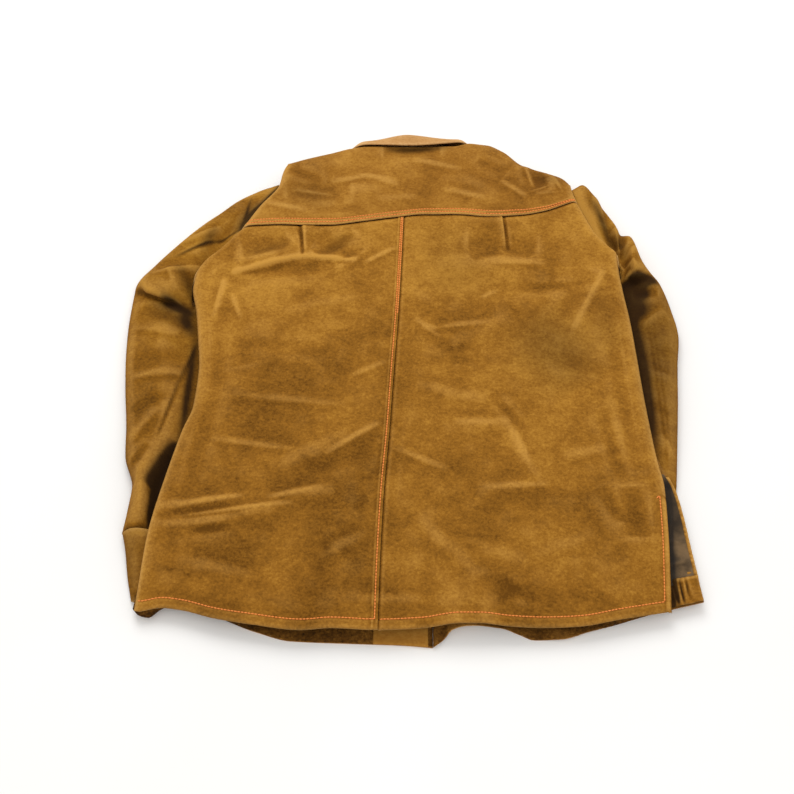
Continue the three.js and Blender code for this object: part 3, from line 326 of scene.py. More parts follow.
# Finer creases of the back and yoke
BACK_CREASES = (
    Fold(-216, 169, -116, 196, 7, 4.8, 0.4), Fold(-124, 195, -52, 190, 7, 3.6, 0.4),
    Fold(-50, 200, -78, 178, 7, 1.6, 0.6), Fold(-204, 198, -138, 226, 9, -3.8),
    Fold(-108, 199, -56, 238, 9, -3.8), Fold(-222, 168, -232, 96, 7, 2.0, 0.5),
    Fold(-236, 172, -190, 150, 8, -1.8), Fold(-214, 140, -196, 92, 6, 1.4, 0.5),
    Fold(-44, 184, 2, 214, 6, 1.8, 0.4), Fold(-150, 108, -40, 132, 12, 1.4),
    Fold(-206, 60, -70, 40, 12, -1.3), Fold(-200, -20, -60, -38, 10, 1.3, 0.5),
    Fold(-60, 4, -8, 30, 7, 1.2, 0.5), Fold(-222, -84, -120, -100, 8, 1.4, 0.5),
    Fold(-252, -176, -176, -163, 4, 1.6, 0.4), Fold(-258, -190, -118, -172, 4, 1.8, 0.4),
    Fold(-236, -206, -186, -200, 5, -1.6), Fold(-150, -166, -84, -152, 5, 1.5, 0.5),
    Fold(-250, -238, -150, -262, 10, 1.4), Fold(-90, -240, -30, -206, 9, 1.2),
    Fold(-84, -108, -18, -64, 5, 1.7, 0.4), Fold(140, 214, 176, 196, 8, -2.0),
    Fold(136, 210, 96, 192, 8, -2.0), Fold(118, 186, 196, 184, 9, 1.6, 0.5),
    Fold(268, 176, 214, 66, 5, 1.2, 0.5), Fold(106, 126, 132, 142, 5, 1.2, 0.5),
    Fold(150, 141, 262, 156, 4, -0.7), Fold(20, 96, 60, 60, 8, 1.3, 0.5),
    Fold(30, 78, 120, 88, 7, 1.2, 0.5), Fold(178, 40, 262, 8, 12, -1.3), Fold(20, -6, 110, -30, 11, 1.3),
    Fold(-6, -98, 60, -128, 7, 1.1, 0.6), Fold(66, -62, 122, -63, 7, 0.8, 0.6),
    Fold(134, -66, 166, -150, 7, 0.9, 0.6), Fold(112, -20, 150, -70, 6, -1.4),
    Fold(98, -153, 176, -148, 5, 1.1, 0.4), Fold(190, -110, 250, -96, 9, 1.3),
    Fold(246, -40, 258, -140, 9, -1.8), Fold(20, -188, 96, -262, 12, 1.5),
    Fold(60, -214, 150, -244, 12, 1.3), Fold(236, -150, 254, -196, 9, -1.8),
    Fold(150, -232, 226, -210, 11, 1.2), Fold(-64, -286, 40, -288, 8, 1.0),
    Fold(84, -268, 176, -284, 10, -1.2), Fold(-242, -170, -218, 14, 11, -1.9),
    Fold(-218, -14, -227, 136, 11, -1.9), Fold(279, -132, 270, 24, 11, -1.8),
    Fold(271, -4, 264, 132, 11, -1.6),
)
YOKE_CREASES = (
    Fold(-146, 318, -84, 306, 7, 2.0, 0.4), Fold(-92, 330, -30, 338, 8, 1.7, 0.5),
    Fold(-150, 356, -100, 330, 8, -1.6), Fold(-60, 346, 6, 322, 9, 1.5, 0.5),
    Fold(-30, 296, 30, 306, 8, 1.2), Fold(20, 372, 90, 352, 9, 1.6, 0.5),
    Fold(60, 318, 120, 298, 8, 1.5, 0.5), Fold(112, 372, 150, 344, 9, -2.0),
    Fold(140, 332, 176, 300, 8, 1.8, 0.4), Fold(176, 366, 186, 318, 6, 2.2, 0.4),
    Fold(196, 352, 206, 316, 5, -1.8), Fold(208, 346, 224, 312, 4, 1.6, 0.5),
    Fold(186, 306, 228, 312, 5, 1.2, 0.5), Fold(-180, 292, -120, 276, 8, 1.5, 0.5),
    Fold(-110, 276, -40, 284, 8, -1.3), Fold(-20, 386, 60, 388, 9, -2.0),
)

# The sleeves and cuffs, from armhole to wrist
LEFT_SLEEVE = (
    Station(0, -161.5, 342, -263.5, 149, 60, 5.6, 62, 5.6, 21),
    Station(14, -184, 336, -264.5, 146, 55, 14, 62, 8, 13),
    Station(40, -213, 322, -265.2, 144, 50, 25, 62, 12, 2),
    Station(75, -246, 291, -265.6, 141, 50, 26, 62, 13),
    Station(120, -290, 244, -264, 137, 46, 27, 50, 12),
    Station(165, -322, 200, -257, 131, 42, 31, 46, 12),
    Station(200, -340.5, 168, -247, 120, 42, 35, 46, 11),
    Station(210, -343.5, 156, -241, 112, 40, 21, 52, 10),
    Station(250, -344.5, 112, -207, 66, 46, 22, 62, 9),
    Station(300, -342.5, 66, -190, 12, 50, 24, 62, 9),
    Station(355, -336.5, 8, -186, -42, 52, 26, 62, 9),
    Station(410, -328.5, -48, -185, -88, 45, 26, 50, 8),
    Station(450, -323.5, -95, -186, -122, 27, 28, 32, 7.5),
    Station(485, -310.5, -138, -188, -150, 13, 29, 20, 7.5),
    Station(515, -312.5, -170, -189, -174, 15, 26, 20, 7.5),
    Station(540, -315.5, -197, -190, -197, 14, 20, 24, 8),
)
RIGHT_SLEEVE = (
    Station(0, 239, 331, 289.8, 196, 60, 5.6, 62, 5.6, 21),
    Station(14, 256, 345, 291, 193, 50, 17, 62, 8, 12),
    Station(34, 270, 329, 292, 191, 40, 27, 50, 13, 2),
    Station(55, 281, 309, 292.6, 189, 35, 22, 40, 13),
    Station(85, 295, 278, 293, 187, 35, 26, 30, 14),
    Station(99, 302, 260, 293, 185.8, 32, 21, 28, 14),
    Station(109, 314, 255, 293, 184.8, 30, 28, 26, 14),
    Station(145, 326, 208, 292, 178.5, 21, 35, 14, 14),
    Station(158, 334, 190, 286, 170, 26, 33, 16, 12),
    Station(172, 346, 171, 275, 163, 18, 24, 40, 10),
    Station(210, 355, 127, 250, 122, 20, 24, 62, 9),
    Station(250, 359, 92, 232, 80, 24, 25, 62, 9),
    Station(300, 352, 42, 216, 30, 26, 25, 62, 9),
    Station(360, 345, -16, 206, -25, 26, 25, 62, 9),
    Station(420, 337, -74, 202, -80, 24, 24, 62, 9),
    Station(465, 331, -118, 200, -122, 24, 19, 62, 9),
    Station(495, 327, -146, 199, -150, 24, 11, 62, 9),
    Station(540, 316, -194, 197, -194, 24, 9, 62, 9),
)
LEFT_CUFF = (
    Station(0, -314.5, -197.3, -189, -197.3, 18, 23, 40, 9),
    Station(20, -309.5, -216, -188, -216, 17, 20, 40, 9),
    Station(55, -302.5, -252, -186, -252, 13, 14, 40, 9),
    Station(83, -295.5, -280, -184, -280, 9, 8.8, 40, 8.4),
)
RIGHT_CUFF = (
    Station(0, 317, -194.3, 196, -194.3, 24, 9, 40, 9),
    Station(78, 311, -272, 192, -272, 24, 9, 40, 9),
)
SLEEVE_NOSE = 13.0
SLEEVE_SEAT = 5.0
OUTER_SEAT = 10.0
OUTER_FOOT = 16.0
SEAT_FADE = 30.0
CREST_START = 0.7
ARMHOLE_FADE = 40.0
SLEEVE_CALM = 10.0
SEAT_CALM = 4.0
ARMHOLE_CALM = 12.0
ARMHOLE_CALM_RAMP = 20.0
LEFT_LIP_AT = 200.0
LEFT_LIP = 12.0
RIGHT_LIP_AT = 154.0
RIGHT_LIP = 11.0
LIP_WIDTH = 9.0
LIP_FROM = 8.0
LIP_RAMP = 14.0
LIP_Z = 16.0
LEFT_ARMHOLE_SPAN = (150.0, 345.0)
RIGHT_ARMHOLE_SPAN = (183.0, 331.0)

# Painted shade: where the colour is darkened toward a deep brown, as in the gaps beside the body, under a
# lip, in troughs and under the collar, with a few broad darker patches; height is the depth of tone
BACK_SHADES = (
    Fold(160, 110, 232, -10, 48, 0.44), Fold(-202, 200, -140, 224, 9, 0.3),
    Fold(-104, 200, -58, 236, 9, 0.3), Fold(66, 262, 84, 110, 46, 0.15), Fold(-250, 60, -246, -60, 6, 0.25),
    Fold(296, 60, 300, -110, 6, 0.2), Fold(262, 150, 268, 40, 22, 0.2),
)
YOKE_SHADES = (
    Fold(186, 350, 226, 322, 9, 0.35), Fold(-24, 394, 78, 396, 5, 0.9), Fold(-160, 326, -80, 296, 26, 0.28),
)
CUFF_SHADES = (
    Fold(-304, -120, -288, -360, 60, 0.24),
)
LEFT_SLEEVE_SHADES = (
    Fold(-262, -76, -289, -142, 7.5, 3.4), Fold(-270, -96, -280, -156, 7, 3.2),
    Fold(-283, -130, -285, -194, 2.8, 2.4), Fold(-306, 138, -256, 122, 8, 1.1),
    Fold(-276, 122, -258, 84, 10, 0.9), Fold(-322, 136, -262, 104, 18, 0.5),
    Fold(-256, 90, -258, -90, 5, 1.2), Fold(-158, 342, -212, 252, 4.5, 1.8),
    Fold(-186, 306, -218, 248, 11, 0.7), Fold(-290, 196, -262, 150, 9, 0.5),
    Fold(-240, 262, -262, 222, 6, 0.6), Fold(-264, 168, -262, 130, 5, 1.0),
    Fold(-199, 318, -207, 256, 1.9, 0.8), Fold(-209, 256, -256, 233, 1.8, 0.9),
    Fold(-244, 240, -294, 208, 1.8, 0.9), Fold(-252, 80, -268, 16, 1.8, 0.6),
    Fold(-264, 34, -286, -78, 1.8, 0.6),
)
RIGHT_SLEEVE_SHADES = (
    Fold(286, 166, 342, 170, 7, 2.2), Fold(292, 156, 330, 148, 12, 1.3), Fold(296, 140, 322, 112, 15, 1.0),
    Fold(299, 170, 306, -120, 8, 1.3), Fold(338, 200, 336, 0, 60, 0.26), Fold(318, 120, 322, -90, 26, 0.42),
    Fold(286, 196, 294, 178, 4, 1.0), Fold(262, 316, 292, 226, 6, 0.8), Fold(292, 250, 304, 210, 8, 0.5),
)

# Creases of the sleeves' upper halves, in plan
LEFT_SLEEVE_FOLDS = (
    Fold(-205, 292, -262, 214, 11, -3.2), Fold(-214, 312, -300, 222, 13, 2.4, 0.5),
    Fold(-236, 262, -292, 232, 6, 2.0, 0.4), Fold(-250, 216, -318, 190, 9, -3.0),
    Fold(-246, 200, -322, 176, 8, 2.6, 0.4), Fold(-284, 196, -262, 162, 9, -2.6),
    Fold(-300, 190, -286, 150, 8, 2.2, 0.5), Fold(-322, 156, -262, 130, 9, -5.0),
    Fold(-330, 128, -262, 96, 10, -2.6), Fold(-338, 96, -276, 84, 12, 1.8, 0.5),
    Fold(-334, 40, -258, 54, 14, -1.8), Fold(-330, 14, -262, 24, 8, 1.6, 0.5),
    Fold(-326, -36, -274, -10, 10, -1.6), Fold(-322, -84, -290, -30, 10, 1.8, 0.5),
    Fold(-318, -120, -294, -84, 7, -1.8), Fold(-310, -150, -296, -110, 5, 1.6, 0.5),
    Fold(-212, 250, -242, 239, 2.4, -1.1), Fold(-240, 240, -290, 208, 2.4, -1.1),
    Fold(-250, 74, -268, 3, 2.4, -0.9), Fold(-267, 6, -288, -84, 2.4, -0.9),
)
RIGHT_SLEEVE_FOLDS = (
    Fold(262, 340, 258, 312, 8, -2.0), Fold(270, 318, 262, 290, 8, 2.4, 0.5),
    Fold(286, 292, 276, 268, 8, -2.6), Fold(300, 262, 286, 250, 7, 2.6, 0.5),
    Fold(312, 246, 292, 226, 8, -3.0), Fold(320, 226, 300, 206, 7, 2.6, 0.5),
    Fold(296, 222, 304, 196, 6, -3.4), Fold(338, 150, 306, 150, 9, -4.5),
    Fold(344, 120, 312, 96, 10, 1.8, 0.5), Fold(346, 60, 306, 40, 12, -1.8),
    Fold(340, 10, 306, 24, 10, 1.6, 0.5), Fold(334, -50, 308, -20, 10, -1.6),
    Fold(330, -100, 312, -70, 9, 1.6, 0.5), Fold(279, 222, 296, 200, 5, 3.4, 0.6),
    Fold(295, 206, 298, 186, 4, 3.6), Fold(297, 190, 289, 178, 3.5, 3.0),
    Fold(288, 204, 291, 188, 3.5, -4.0), Fold(300, 196, 322, 186, 5, 2.6, 0.5),
    Fold(320, 120, 319, -120, 2.4, -0.9), Fold(325, 118, 325, -110, 2.4, -0.6),
)

# The fronts: their hems, edges and necks, and what shows in the open vent
FRONT_HEM_LEFT = (
    Spot(-291, -291, 7), Spot(-283, -299, 4.5), Spot(-273, -301, 2), Spot(-264, -294, 1), Spot(-256, -289),
    Spot(-236, -285), Spot(-201, -298), Spot(-150, -317), Spot(-117, -326), Spot(-51, -329), Spot(3, -331),
    Spot(39.1, -334),
)
FRONT_HEM_RIGHT = (
    Spot(39.4, -335, 1), Spot(52, -325, 4), Spot(60, -316, 7), Spot(72, -312, 8), Spot(92, -310, 5),
    Spot(113, -311, 1), Spot(135, -319), Spot(150, -325), Spot(178, -325), Spot(211, -316), Spot(245, -307),
    Spot(274, -299), Spot(305, -292), Spot(339, -284),
)
# Painted shade on the lining: a dark line beside the back's edge, and darker towards its top
LINING_SHADES = (
    Fold(304, -310, 313, -130, 5, 1.8), Fold(322, -216, 314, -116, 15, 0.8),
)
# Painted shade on the gathered hem: beside the back's edge and in its pleats
VENT_HEM_SHADES = (
    Fold(303, -300, 308, -250, 4, 1.8), Fold(309, -254, 311, -292, 1.6, 1.5),
    Fold(314, -256, 317, -290, 1.5, 1.2), Fold(322, -258, 322, -278, 1.4, 0.8),
)
GATHERS = (
    Gather(262, 1.6, 3), Gather(267, 3.0, 1), Gather(272, 2.6, -2), Gather(278, 1.8, 2), Gather(287, 1.5, -3),
)
GATHER_WIDTH = 1.7
GATHER_LIFT = 2.4
GATHER_ROLL = 3.0
GATHER_START = 1 / 3
GATHER_WAVE = 0.5
GATHER_PITCH = 3.1
GATHER_LEAN = 5.0
# Creases of the lining, by how far across and up the front they lie
LINING_CREASES = (
    Fold(262, 60, 288, 118, 3, 1.6, 0.5), Fold(258, 92, 290, 80, 3.5, 1.5, 0.5),
    Fold(266, 150, 284, 128, 3, 1.2, 0.5), Fold(262, 52, 292, 56, 4, 1.4, 0.5),
)
FRONT_CORNER = (
    Spot(-291, -291, 9.5), Spot(-289, -281, 12.9),
)
FRONT_EDGE_LEFT = (
    Spot(39.1, -334), Spot(37.6, -100), Spot(34.6, 120), Spot(31.6, 300),
)
FRONT_EDGE_RIGHT = (
    Spot(39.4, -335), Spot(40, -240), Spot(38, -100), Spot(35, 120), Spot(32, 300),
)
FRONT_NECK_LEFT = (
    Spot(-66, 401), Spot(-58, 366), Spot(-34, 330), Spot(2, 306), Spot(31.6, 300),
)
FRONT_NECK_RIGHT = (
    Spot(32, 300), Spot(64, 308), Spot(94, 334), Spot(108, 368), Spot(104, 411),
)
VENT_FLAP = (
    Spot(339, -284, 12), Spot(336, -249, 12), Spot(333, -214, 12), Spot(330, -178, 13), Spot(324, -146, 18),
    Spot(312, -124, 27), Spot(304, -100, 28),
)
FLAP_TOP = -80.0
SIDE_RISE = 70.0
SHELF_Z = 10.2
# How far the fronts' shelf over the sleeve reaches in from the side, and its height
SHELF_LEFT = (
    Level(-312, 112, 0), Level(-300, 112, 4), Level(-290, 112, 8), Level(-282, 112, SHELF_Z),
    Level(-200, 104, SHELF_Z), Level(-100, 90, SHELF_Z), Level(60, 66, SHELF_Z), Level(150, 40, SHELF_Z),
    Level(230, 10, 4),
)
SHELF_RIGHT = (
    Level(-310, 158, 3), Level(-280, 156, SHELF_Z), Level(-200, 146, SHELF_Z), Level(-100, 120, SHELF_Z),
    Level(30, 92, SHELF_Z), Level(110, 58, SHELF_Z), Level(170, 30, 8), Level(230, 10, 4),
)
SHELF_FADE = 34.0
TOP_FADE = 60.0
FRONT_HEM_SHARE = 0.1
NECK_RISE = 6.5
NECK_FROM = 215.0
NECK_RAMP = 45.0
NECK_MIDDLE = 22.0
NECK_REACH = 130.0
NECK_FADE = 30.0
BUTTON_RISE = 3.5
BUTTON_REACH = 66.0
BUTTON_RAMP = 26.0

# The collar, from its left front end round the neck
COLLAR_STAND = (
    CollarRow(0, 24, 303, 7, 25, 326, 4.6), CollarRow(1, -30, 333, 7, -16, 352, 5),
    CollarRow(2, -56, 372, 12, -46, 383, 9), CollarRow(2.6, -61, 390, 19, -53, 398, 11),
    CollarRow(3, -60, 402, 25, -57, 410, 14), CollarRow(3.4, -52, 400, 28.5, -50, 416.5, 15),
    CollarRow(4, -36, 398.6, 33.4, -36, 421.4, 15.8), CollarRow(5, 16, 396.8, 35.2, 12, 446.8, 14.2),
    CollarRow(6, 76, 398.6, 33.4, 76, 423.2, 15.8), CollarRow(6.6, 88, 404, 28.5, 89, 420.4, 16.2),
    CollarRow(7, 97, 412, 26, 94, 418, 14), CollarRow(7.4, 102, 396, 19, 96, 404, 11),
    CollarRow(8, 103.5, 372, 12, 94, 383, 9), CollarRow(9, 89, 337, 7, 78, 352, 5),
    CollarRow(10, 40, 303, 7, 39, 326, 4.6),
)
COLLAR_FALL = (
    CollarRow(0, 25.2, 328.6, 2.4, 14, 262, 0), CollarRow(1, -14.5, 354.5, 2.7, -62, 300, 0),
    CollarRow(2, -44.5, 385.5, 6.4, -92, 362, 1.5), CollarRow(2.6, -52, 401, 8, -92, 386, 5),
    CollarRow(3, -58.5, 414, 12.5, -86, 402, 13), CollarRow(3.4, -52.5, 418, 17.5, -72, 404, 24),
    CollarRow(4, -37, 421, 16.5, -44, 402.5, 42), CollarRow(5, 12, 447, 14.5, 20, 398, 45),
    CollarRow(6, 77, 423, 16.5, 84, 407, 42), CollarRow(6.6, 91, 421, 17.5, 108, 414, 25),
    CollarRow(7, 95.5, 423, 12.5, 122, 417, 13), CollarRow(7.4, 95, 407, 8, 132, 396, 5),
    CollarRow(8, 92.5, 385.5, 6.4, 138, 366, 1.5), CollarRow(9, 76.5, 354.5, 2.7, 122, 302, 0),
    CollarRow(10, 38.8, 328.6, 2.4, 50, 262, 0),
)
COLLAR_ROWS = 10.0
FALL_BULGE = 6.0
FALL_BULGE_FROM = 24.0
FALL_BULGE_RAMP = 14.0


def clamp01(value: Any) -> np.ndarray:
    """Return value held between 0 and 1."""
    return np.clip(value, 0.0, 1.0)


def smooth(value: Any) -> np.ndarray:
    """Return the smooth step of value from 0 to 1."""
    held = clamp01(value)
    return held * held * (3 - 2 * held)


def mix(start: Any, end: Any, share: Any) -> Any:
    """Return the point at share of the way from start to end."""
    return start + (end - start) * share


def roll(distance: Any, radius: float) -> np.ndarray:
    """Return how far a rolled edge has risen, from 0 on the edge to 1 at its radius."""
    return np.sqrt(1 - (1 - clamp01(distance / radius)) ** 2)


def bump(distance: Any, width: float) -> np.ndarray:
    """Return a rounded bump, 1 at no distance."""
    return np.exp(-((distance / width) ** 2))


def worn_and_lit(wear_and_highlight: WearAndHighlight, distance: np.ndarray) -> np.ndarray:
    """Return how much the cloth is lightened, by rub wear and painted highlight, at a distance in millimetres
    from an edge.
    """
    return wear_and_highlight.share * bump(distance - wear_and_highlight.at, wear_and_highlight.width)


def apart(plan: np.ndarray, edge: np.ndarray) -> np.ndarray:
    """Return how far each point of a plan lies from its own point of an edge."""
    return np.hypot(plan[..., 0] - edge[..., 0], plan[..., 1] - edge[..., 1])


def poured(name: str, source: bmesh.types.BMesh) -> bpy.types.Mesh:
    """Return a new mesh made of source, which is freed."""
    mesh = bpy.data.meshes.new(name)
    source.to_mesh(mesh)
    source.free()
    return mesh


def linked(name: str, data: Any) -> bpy.types.Object:
    """Return a new object that holds data, linked to the scene."""
    piece = bpy.data.objects.new(name, data)
    bpy.context.scene.collection.objects.link(piece)
    return piece


class Track:
    """A monotone cubic through values at keys that only grow."""

    def __init__(self, keys: Sequence[float], values: Sequence[float]) -> None:
        """Work out the spans and the slope at each key."""
        self.keys = np.asarray(keys, float)
        self.values = np.asarray(values, float)
        self.spans = np.diff(self.keys)
        slopes = np.diff(self.values) / self.spans
        before = np.concatenate([slopes[:1], slopes])
        after = np.concatenate([slopes, slopes[-1:]])
        total = np.where(before + after == 0, 1, before + after)
        self.tangents = np.where(before * after > 0, 2 * before * after / total, 0)

    def __call__(self, wanted: Any) -> np.ndarray:
        """Return the values at the wanted keys."""
        at = np.clip(wanted, self.keys[0], self.keys[-1])
        i = np.clip(np.searchsorted(self.keys, at, side="right") - 1, 0, len(self.spans) - 1)
        t = (at - self.keys[i]) / self.spans[i]
        rise = self.values[i + 1] - self.values[i]
        bend = self.tangents[i] * self.spans[i]
        leave = self.tangents[i + 1] * self.spans[i]
        return self.values[i] + t * (bend + t * (3 * rise - 2 * bend - leave + t * (bend + leave - 2 * rise)))


def column(rows: Sequence[NamedTuple], key: str, name: str) -> Track:
    """Return the track of one column of a table, read by another."""
    return Track([getattr(row, key) for row in rows], [getattr(row, name) for row in rows])


class Route:
    """A smooth route through spots, read from 0 at its start to 1 at its end, by length."""

    def __init__(self, spots: Sequence[Spot], shift: float = 0.0) -> None:
        """Keep the spots' tracks and how far the route is moved along x."""
        table = np.array([tuple(spot) for spot in spots], float)
        steps = np.hypot(np.diff(table[:, 0]), np.diff(table[:, 1]))
        walked = np.concatenate([[0.0], np.cumsum(steps)])
        self.length = walked[-1]
        self.tracks = [Track(walked, table[:, i]) for i in range(3)]
        self.shift = shift

    def __call__(self, share: Any) -> np.ndarray:
        """Return the points at the shares, with the route's third column as their height."""
        walked = np.asarray(share, float) * self.length
        found = np.stack([track(walked) for track in self.tracks], axis=-1)
        found[..., 0] += self.shift
        return found

    def share_at(self, x: float) -> float:
        """Return the share at which a left-to-right route reaches x."""
        shares = np.linspace(0, 1, SHARE_SAMPLES)
        return float(np.interp(x, self(shares)[:, 0], shares))


def patch(bottom: Reader, top: Reader, left: Reader, right: Reader) -> Surface:
    """Return the plan of a four-sided panel between its edge routes.

    Args:
        bottom: The edge that runs with u at v = 0.
        top: The edge that runs with u at v = 1.
        left: The edge that runs with v at u = 0.
        right: The edge that runs with v at u = 1.

    Returns:
        A function of u and v that gives x and y.
    """

    def plan(u: np.ndarray, v: np.ndarray) -> np.ndarray:
        """Return the plan's points at u and v."""
        across_u = u[..., None]
        up_v = v[..., None]
        rising = mix(bottom(u)[..., :2], top(u)[..., :2], up_v)
        crossing = mix(left(v)[..., :2], right(v)[..., :2], across_u)
        low = mix(bottom(0.0)[:2], bottom(1.0)[:2], across_u)
        high = mix(top(0.0)[:2], top(1.0)[:2], across_u)
        return rising + crossing - mix(low, high, up_v)

    return plan


def fold_height(folds: Sequence[Fold], x: np.ndarray, y: np.ndarray) -> np.ndarray:
    """Return the height that a table of folds adds at each point of the plan.

    Args:
        folds: The ridges and troughs, each tapered to nothing at both ends.
        x: The points' x.
        y: The points' y.

    Returns:
        The summed height.
    """
    total = np.zeros_like(x)
    for fold in folds:
        run_x = fold.x2 - fold.x1
        run_y = fold.y2 - fold.y1
        length = math.hypot(run_x, run_y)
        share = ((x - fold.x1) * run_x + (y - fold.y1) * run_y) / length**2
        held = clamp01(share)
        away = np.hypot(x - fold.x1 - held * run_x, y - fold.y1 - held * run_y)
        side = (x - fold.x1) * run_y - (y - fold.y1) * run_x
        width = np.where(side > 0, fold.width * fold.steep, fold.width)
        ends = np.sin(math.pi * held) ** FOLD_TAPER
        total += fold.height * bump(away, width) * ends
    return total


class Ripple:
    """The gentle unevenness of laid cloth: smooth noise of a few sizes, the same on each run."""

    SIZE = 64
    OFFSET = 400
    FIRST_TURN = 0.6
    NEXT_TURN = 1.1

    def __init__(self, seed: int, layers: Sequence[tuple[float, float]]) -> None:
        """Draw one lattice for each layer, which is a cell size and a height in millimetres."""
        draws = np.random.default_rng(seed)
        shape = (self.SIZE, self.SIZE)
        self.layers = [(cell, height, draws.uniform(-1, 1, shape)) for cell, height in layers]

    def __call__(self, x: np.ndarray, y: np.ndarray) -> np.ndarray:
        """Return the summed height of the layers at each point."""
        total = np.zeros_like(x)
        for turn, (cell, height, lattice) in enumerate(self.layers):
            angle = self.FIRST_TURN + self.NEXT_TURN * turn
            a = (x * math.cos(angle) - y * math.sin(angle)) / cell + self.OFFSET
            b = (x * math.sin(angle) + y * math.cos(angle)) / cell + self.OFFSET
            i = np.floor(a).astype(int)
            j = np.floor(b).astype(int)
            near = i % self.SIZE
            far = (i + 1) % self.SIZE
            low, high = (
                mix(lattice[near, k % self.SIZE], lattice[far, k % self.SIZE], smooth(a - i))
                for k in (j, j + 1)
            )
            total += height * mix(low, high, smooth(b - j))
        return total


BODY_RIPPLE = Ripple(11, ((95, 1.5), (52, 0.9), (27, 0.42), (13, 0.16)))
SLEEVE_RIPPLE = Ripple(23, ((60, 1.3), (31, 0.7), (15, 0.25)))
LINING_RIPPLE = Ripple(41, ((34, 0.7), (15, 0.5), (8, 0.3)))


def pleat_height(x: np.ndarray, y: np.ndarray) -> np.ndarray:
    """Return the height of the two tucks: a folded edge, a groove beside it and a slow fall."""
    total = np.zeros_like(x)
    for pleat in PLEATS:
        away = (x - pleat.x - pleat.slant * (pleat.top - y)) * pleat.towards
        down = smooth((y - pleat.bottom) / (pleat.top - pleat.bottom))
        held = 1 - PLEAT_PRESS * smooth((y - pleat.top + PLEAT_HOLD) / PLEAT_HOLD)
        lip = np.where(away > 0, np.exp(-np.maximum(away, 0) / pleat.spread), bump(away, PLEAT_EDGE))
        groove = bump(away + GROOVE_OFF, GROOVE_WIDTH) * smooth((y - pleat.bottom) / GROOVE_END)
        total += held * (down * pleat.rise * lip - GROOVE_DEPTH * groove)
    return total


def welt(distance: np.ndarray, rows: Sequence[float], width: float) -> np.ndarray:
    """Return the height of a turned, stitched edge: a soft roll that each stitch row pulls down."""
    swell = WELT_RISE * smooth(distance / WELT_START) * smooth((width - distance) / WELT_END)
    pulled = sum(STITCH_PULL * bump(distance - row, STITCH_PULL_WIDTH) for row in rows)
    return swell - pulled


back_height = column(BACK_HEIGHT, "y", "first")
left_side = Route(LEFT_SIDE)
right_side = Route(RIGHT_SIDE)
centre_seam = Route(CENTRE_SEAM)
hem_line = Route(BACK_HEM)
yoke_line = Route(YOKE_SEAM)
HEM_SPLIT = hem_line.share_at(CENTRE_SEAM[0].x)
SEAM_SPLIT = yoke_line.share_at(CENTRE_SEAM[-1].x)


@dataclass(frozen=True)
class BackHalf:
    """Half of the back below the yoke: its side edge is at u = 0 and the centre seam at u = 1."""

    right: bool

    @property
    def side(self) -> Route:
        """The route of the side edge."""
        return right_side if self.right else left_side

    @property
    def gap(self) -> float:
        """How far the half stands off the centre seam."""
        return SEAM_GAP if self.right else 0.0

    def across(self, route: Route, split: float, u: Any) -> np.ndarray:
        """Return the points of a route that both halves share, from the side edge to its split."""
        found = route(mix(float(self.right), split, u))
        found[..., 0] += self.gap * np.asarray(u)
        return found

    def hem(self, u: Any) -> np.ndarray:
        """Return the hem's points, side to centre."""
        return self.across(hem_line, HEM_SPLIT, u)

    def top(self, u: Any) -> np.ndarray:
        """Return the points under the yoke seam, side to centre."""
        found = self.across(yoke_line, SEAM_SPLIT, u)
        found[..., 1] -= SEAM_GAP
        return found

    def side_edge(self, v: Any) -> np.ndarray:
        """Return the side edge's points, hem to armhole."""
        found = self.side(v)
        found[..., 1] -= SEAM_GAP * np.asarray(v)
        return found

    def centre_edge(self, v: Any) -> np.ndarray:
        """Return the centre edge's points, hem to yoke."""
        found = centre_seam(v)
        found[..., 0] += self.gap
        found[..., 1] -= SEAM_GAP * np.asarray(v)
        return found

    def surface(self, u: np.ndarray, v: np.ndarray) -> np.ndarray:
        """Return the outer face's points at u and v."""
        plan = patch(self.hem, self.top, self.side_edge, self.centre_edge)(u, v)
        x = plan[..., 0]
        y = plan[..., 1]
        side = self.side(v)
        from_side = apart(plan, side)
        from_seam = apart(plan, self.centre_edge(v))
        hem = self.hem(u)
        from_hem = v * PANEL_LENGTH
        from_yoke = (1 - v) * PANEL_LENGTH
        hem_lift = hem[..., 2] + HEM_EXTRA + SUEDE - back_height(hem[..., 1])
        hem_lift = hem_lift * (1 - smooth(v / HEM_RISE_SHARE))
        folds = fold_height(BACK_FOLDS + BACK_CREASES, x, y) + pleat_height(x, y) + BODY_RIPPLE(x, y)
        full = back_height(y) + hem_lift + folds * smooth(from_hem / HEM_CALM)
        if self.right:
            full = full - SEAM_DIP * bump(from_seam, SEAM_DIP_WIDTH)
            full = full + SEAM_SWELL * bump(from_seam - SEAM_SWELL_AT, SEAM_SWELL_WIDTH)
        else:
            full = full + LAP * smooth((LAP_WIDTH - from_seam) / LAP_RAMP)
            full = full - SEAM_PULL * bump(from_seam - SEAM_ROW, SEAM_PULL_WIDTH)
        full = full + welt(from_hem, (HEM_ROW,), HEM_TURN + WELT_SPARE) * smooth(from_side / CORNER_RAMP)
        full = full - YOKE_DIP * bump(from_yoke, YOKE_DIP_WIDTH)
        if self.right:
            open_vent = smooth((VENT_TOP - v) / VENT_FADE)
            full = full + welt(from_side, (VENT_ROW,), VENT_TURN) * open_vent * smooth(from_hem / VENT_RAMP)
            rolled = mix(roll(from_side, SIDE_ROLL), roll(from_side, VENT_ROLL), open_vent)
        else:
            rolled = roll(from_side, SIDE_ROLL)
        edge = side[..., 2]
        return np.stack([x, y, mix(edge, full, rolled)], axis=-1)


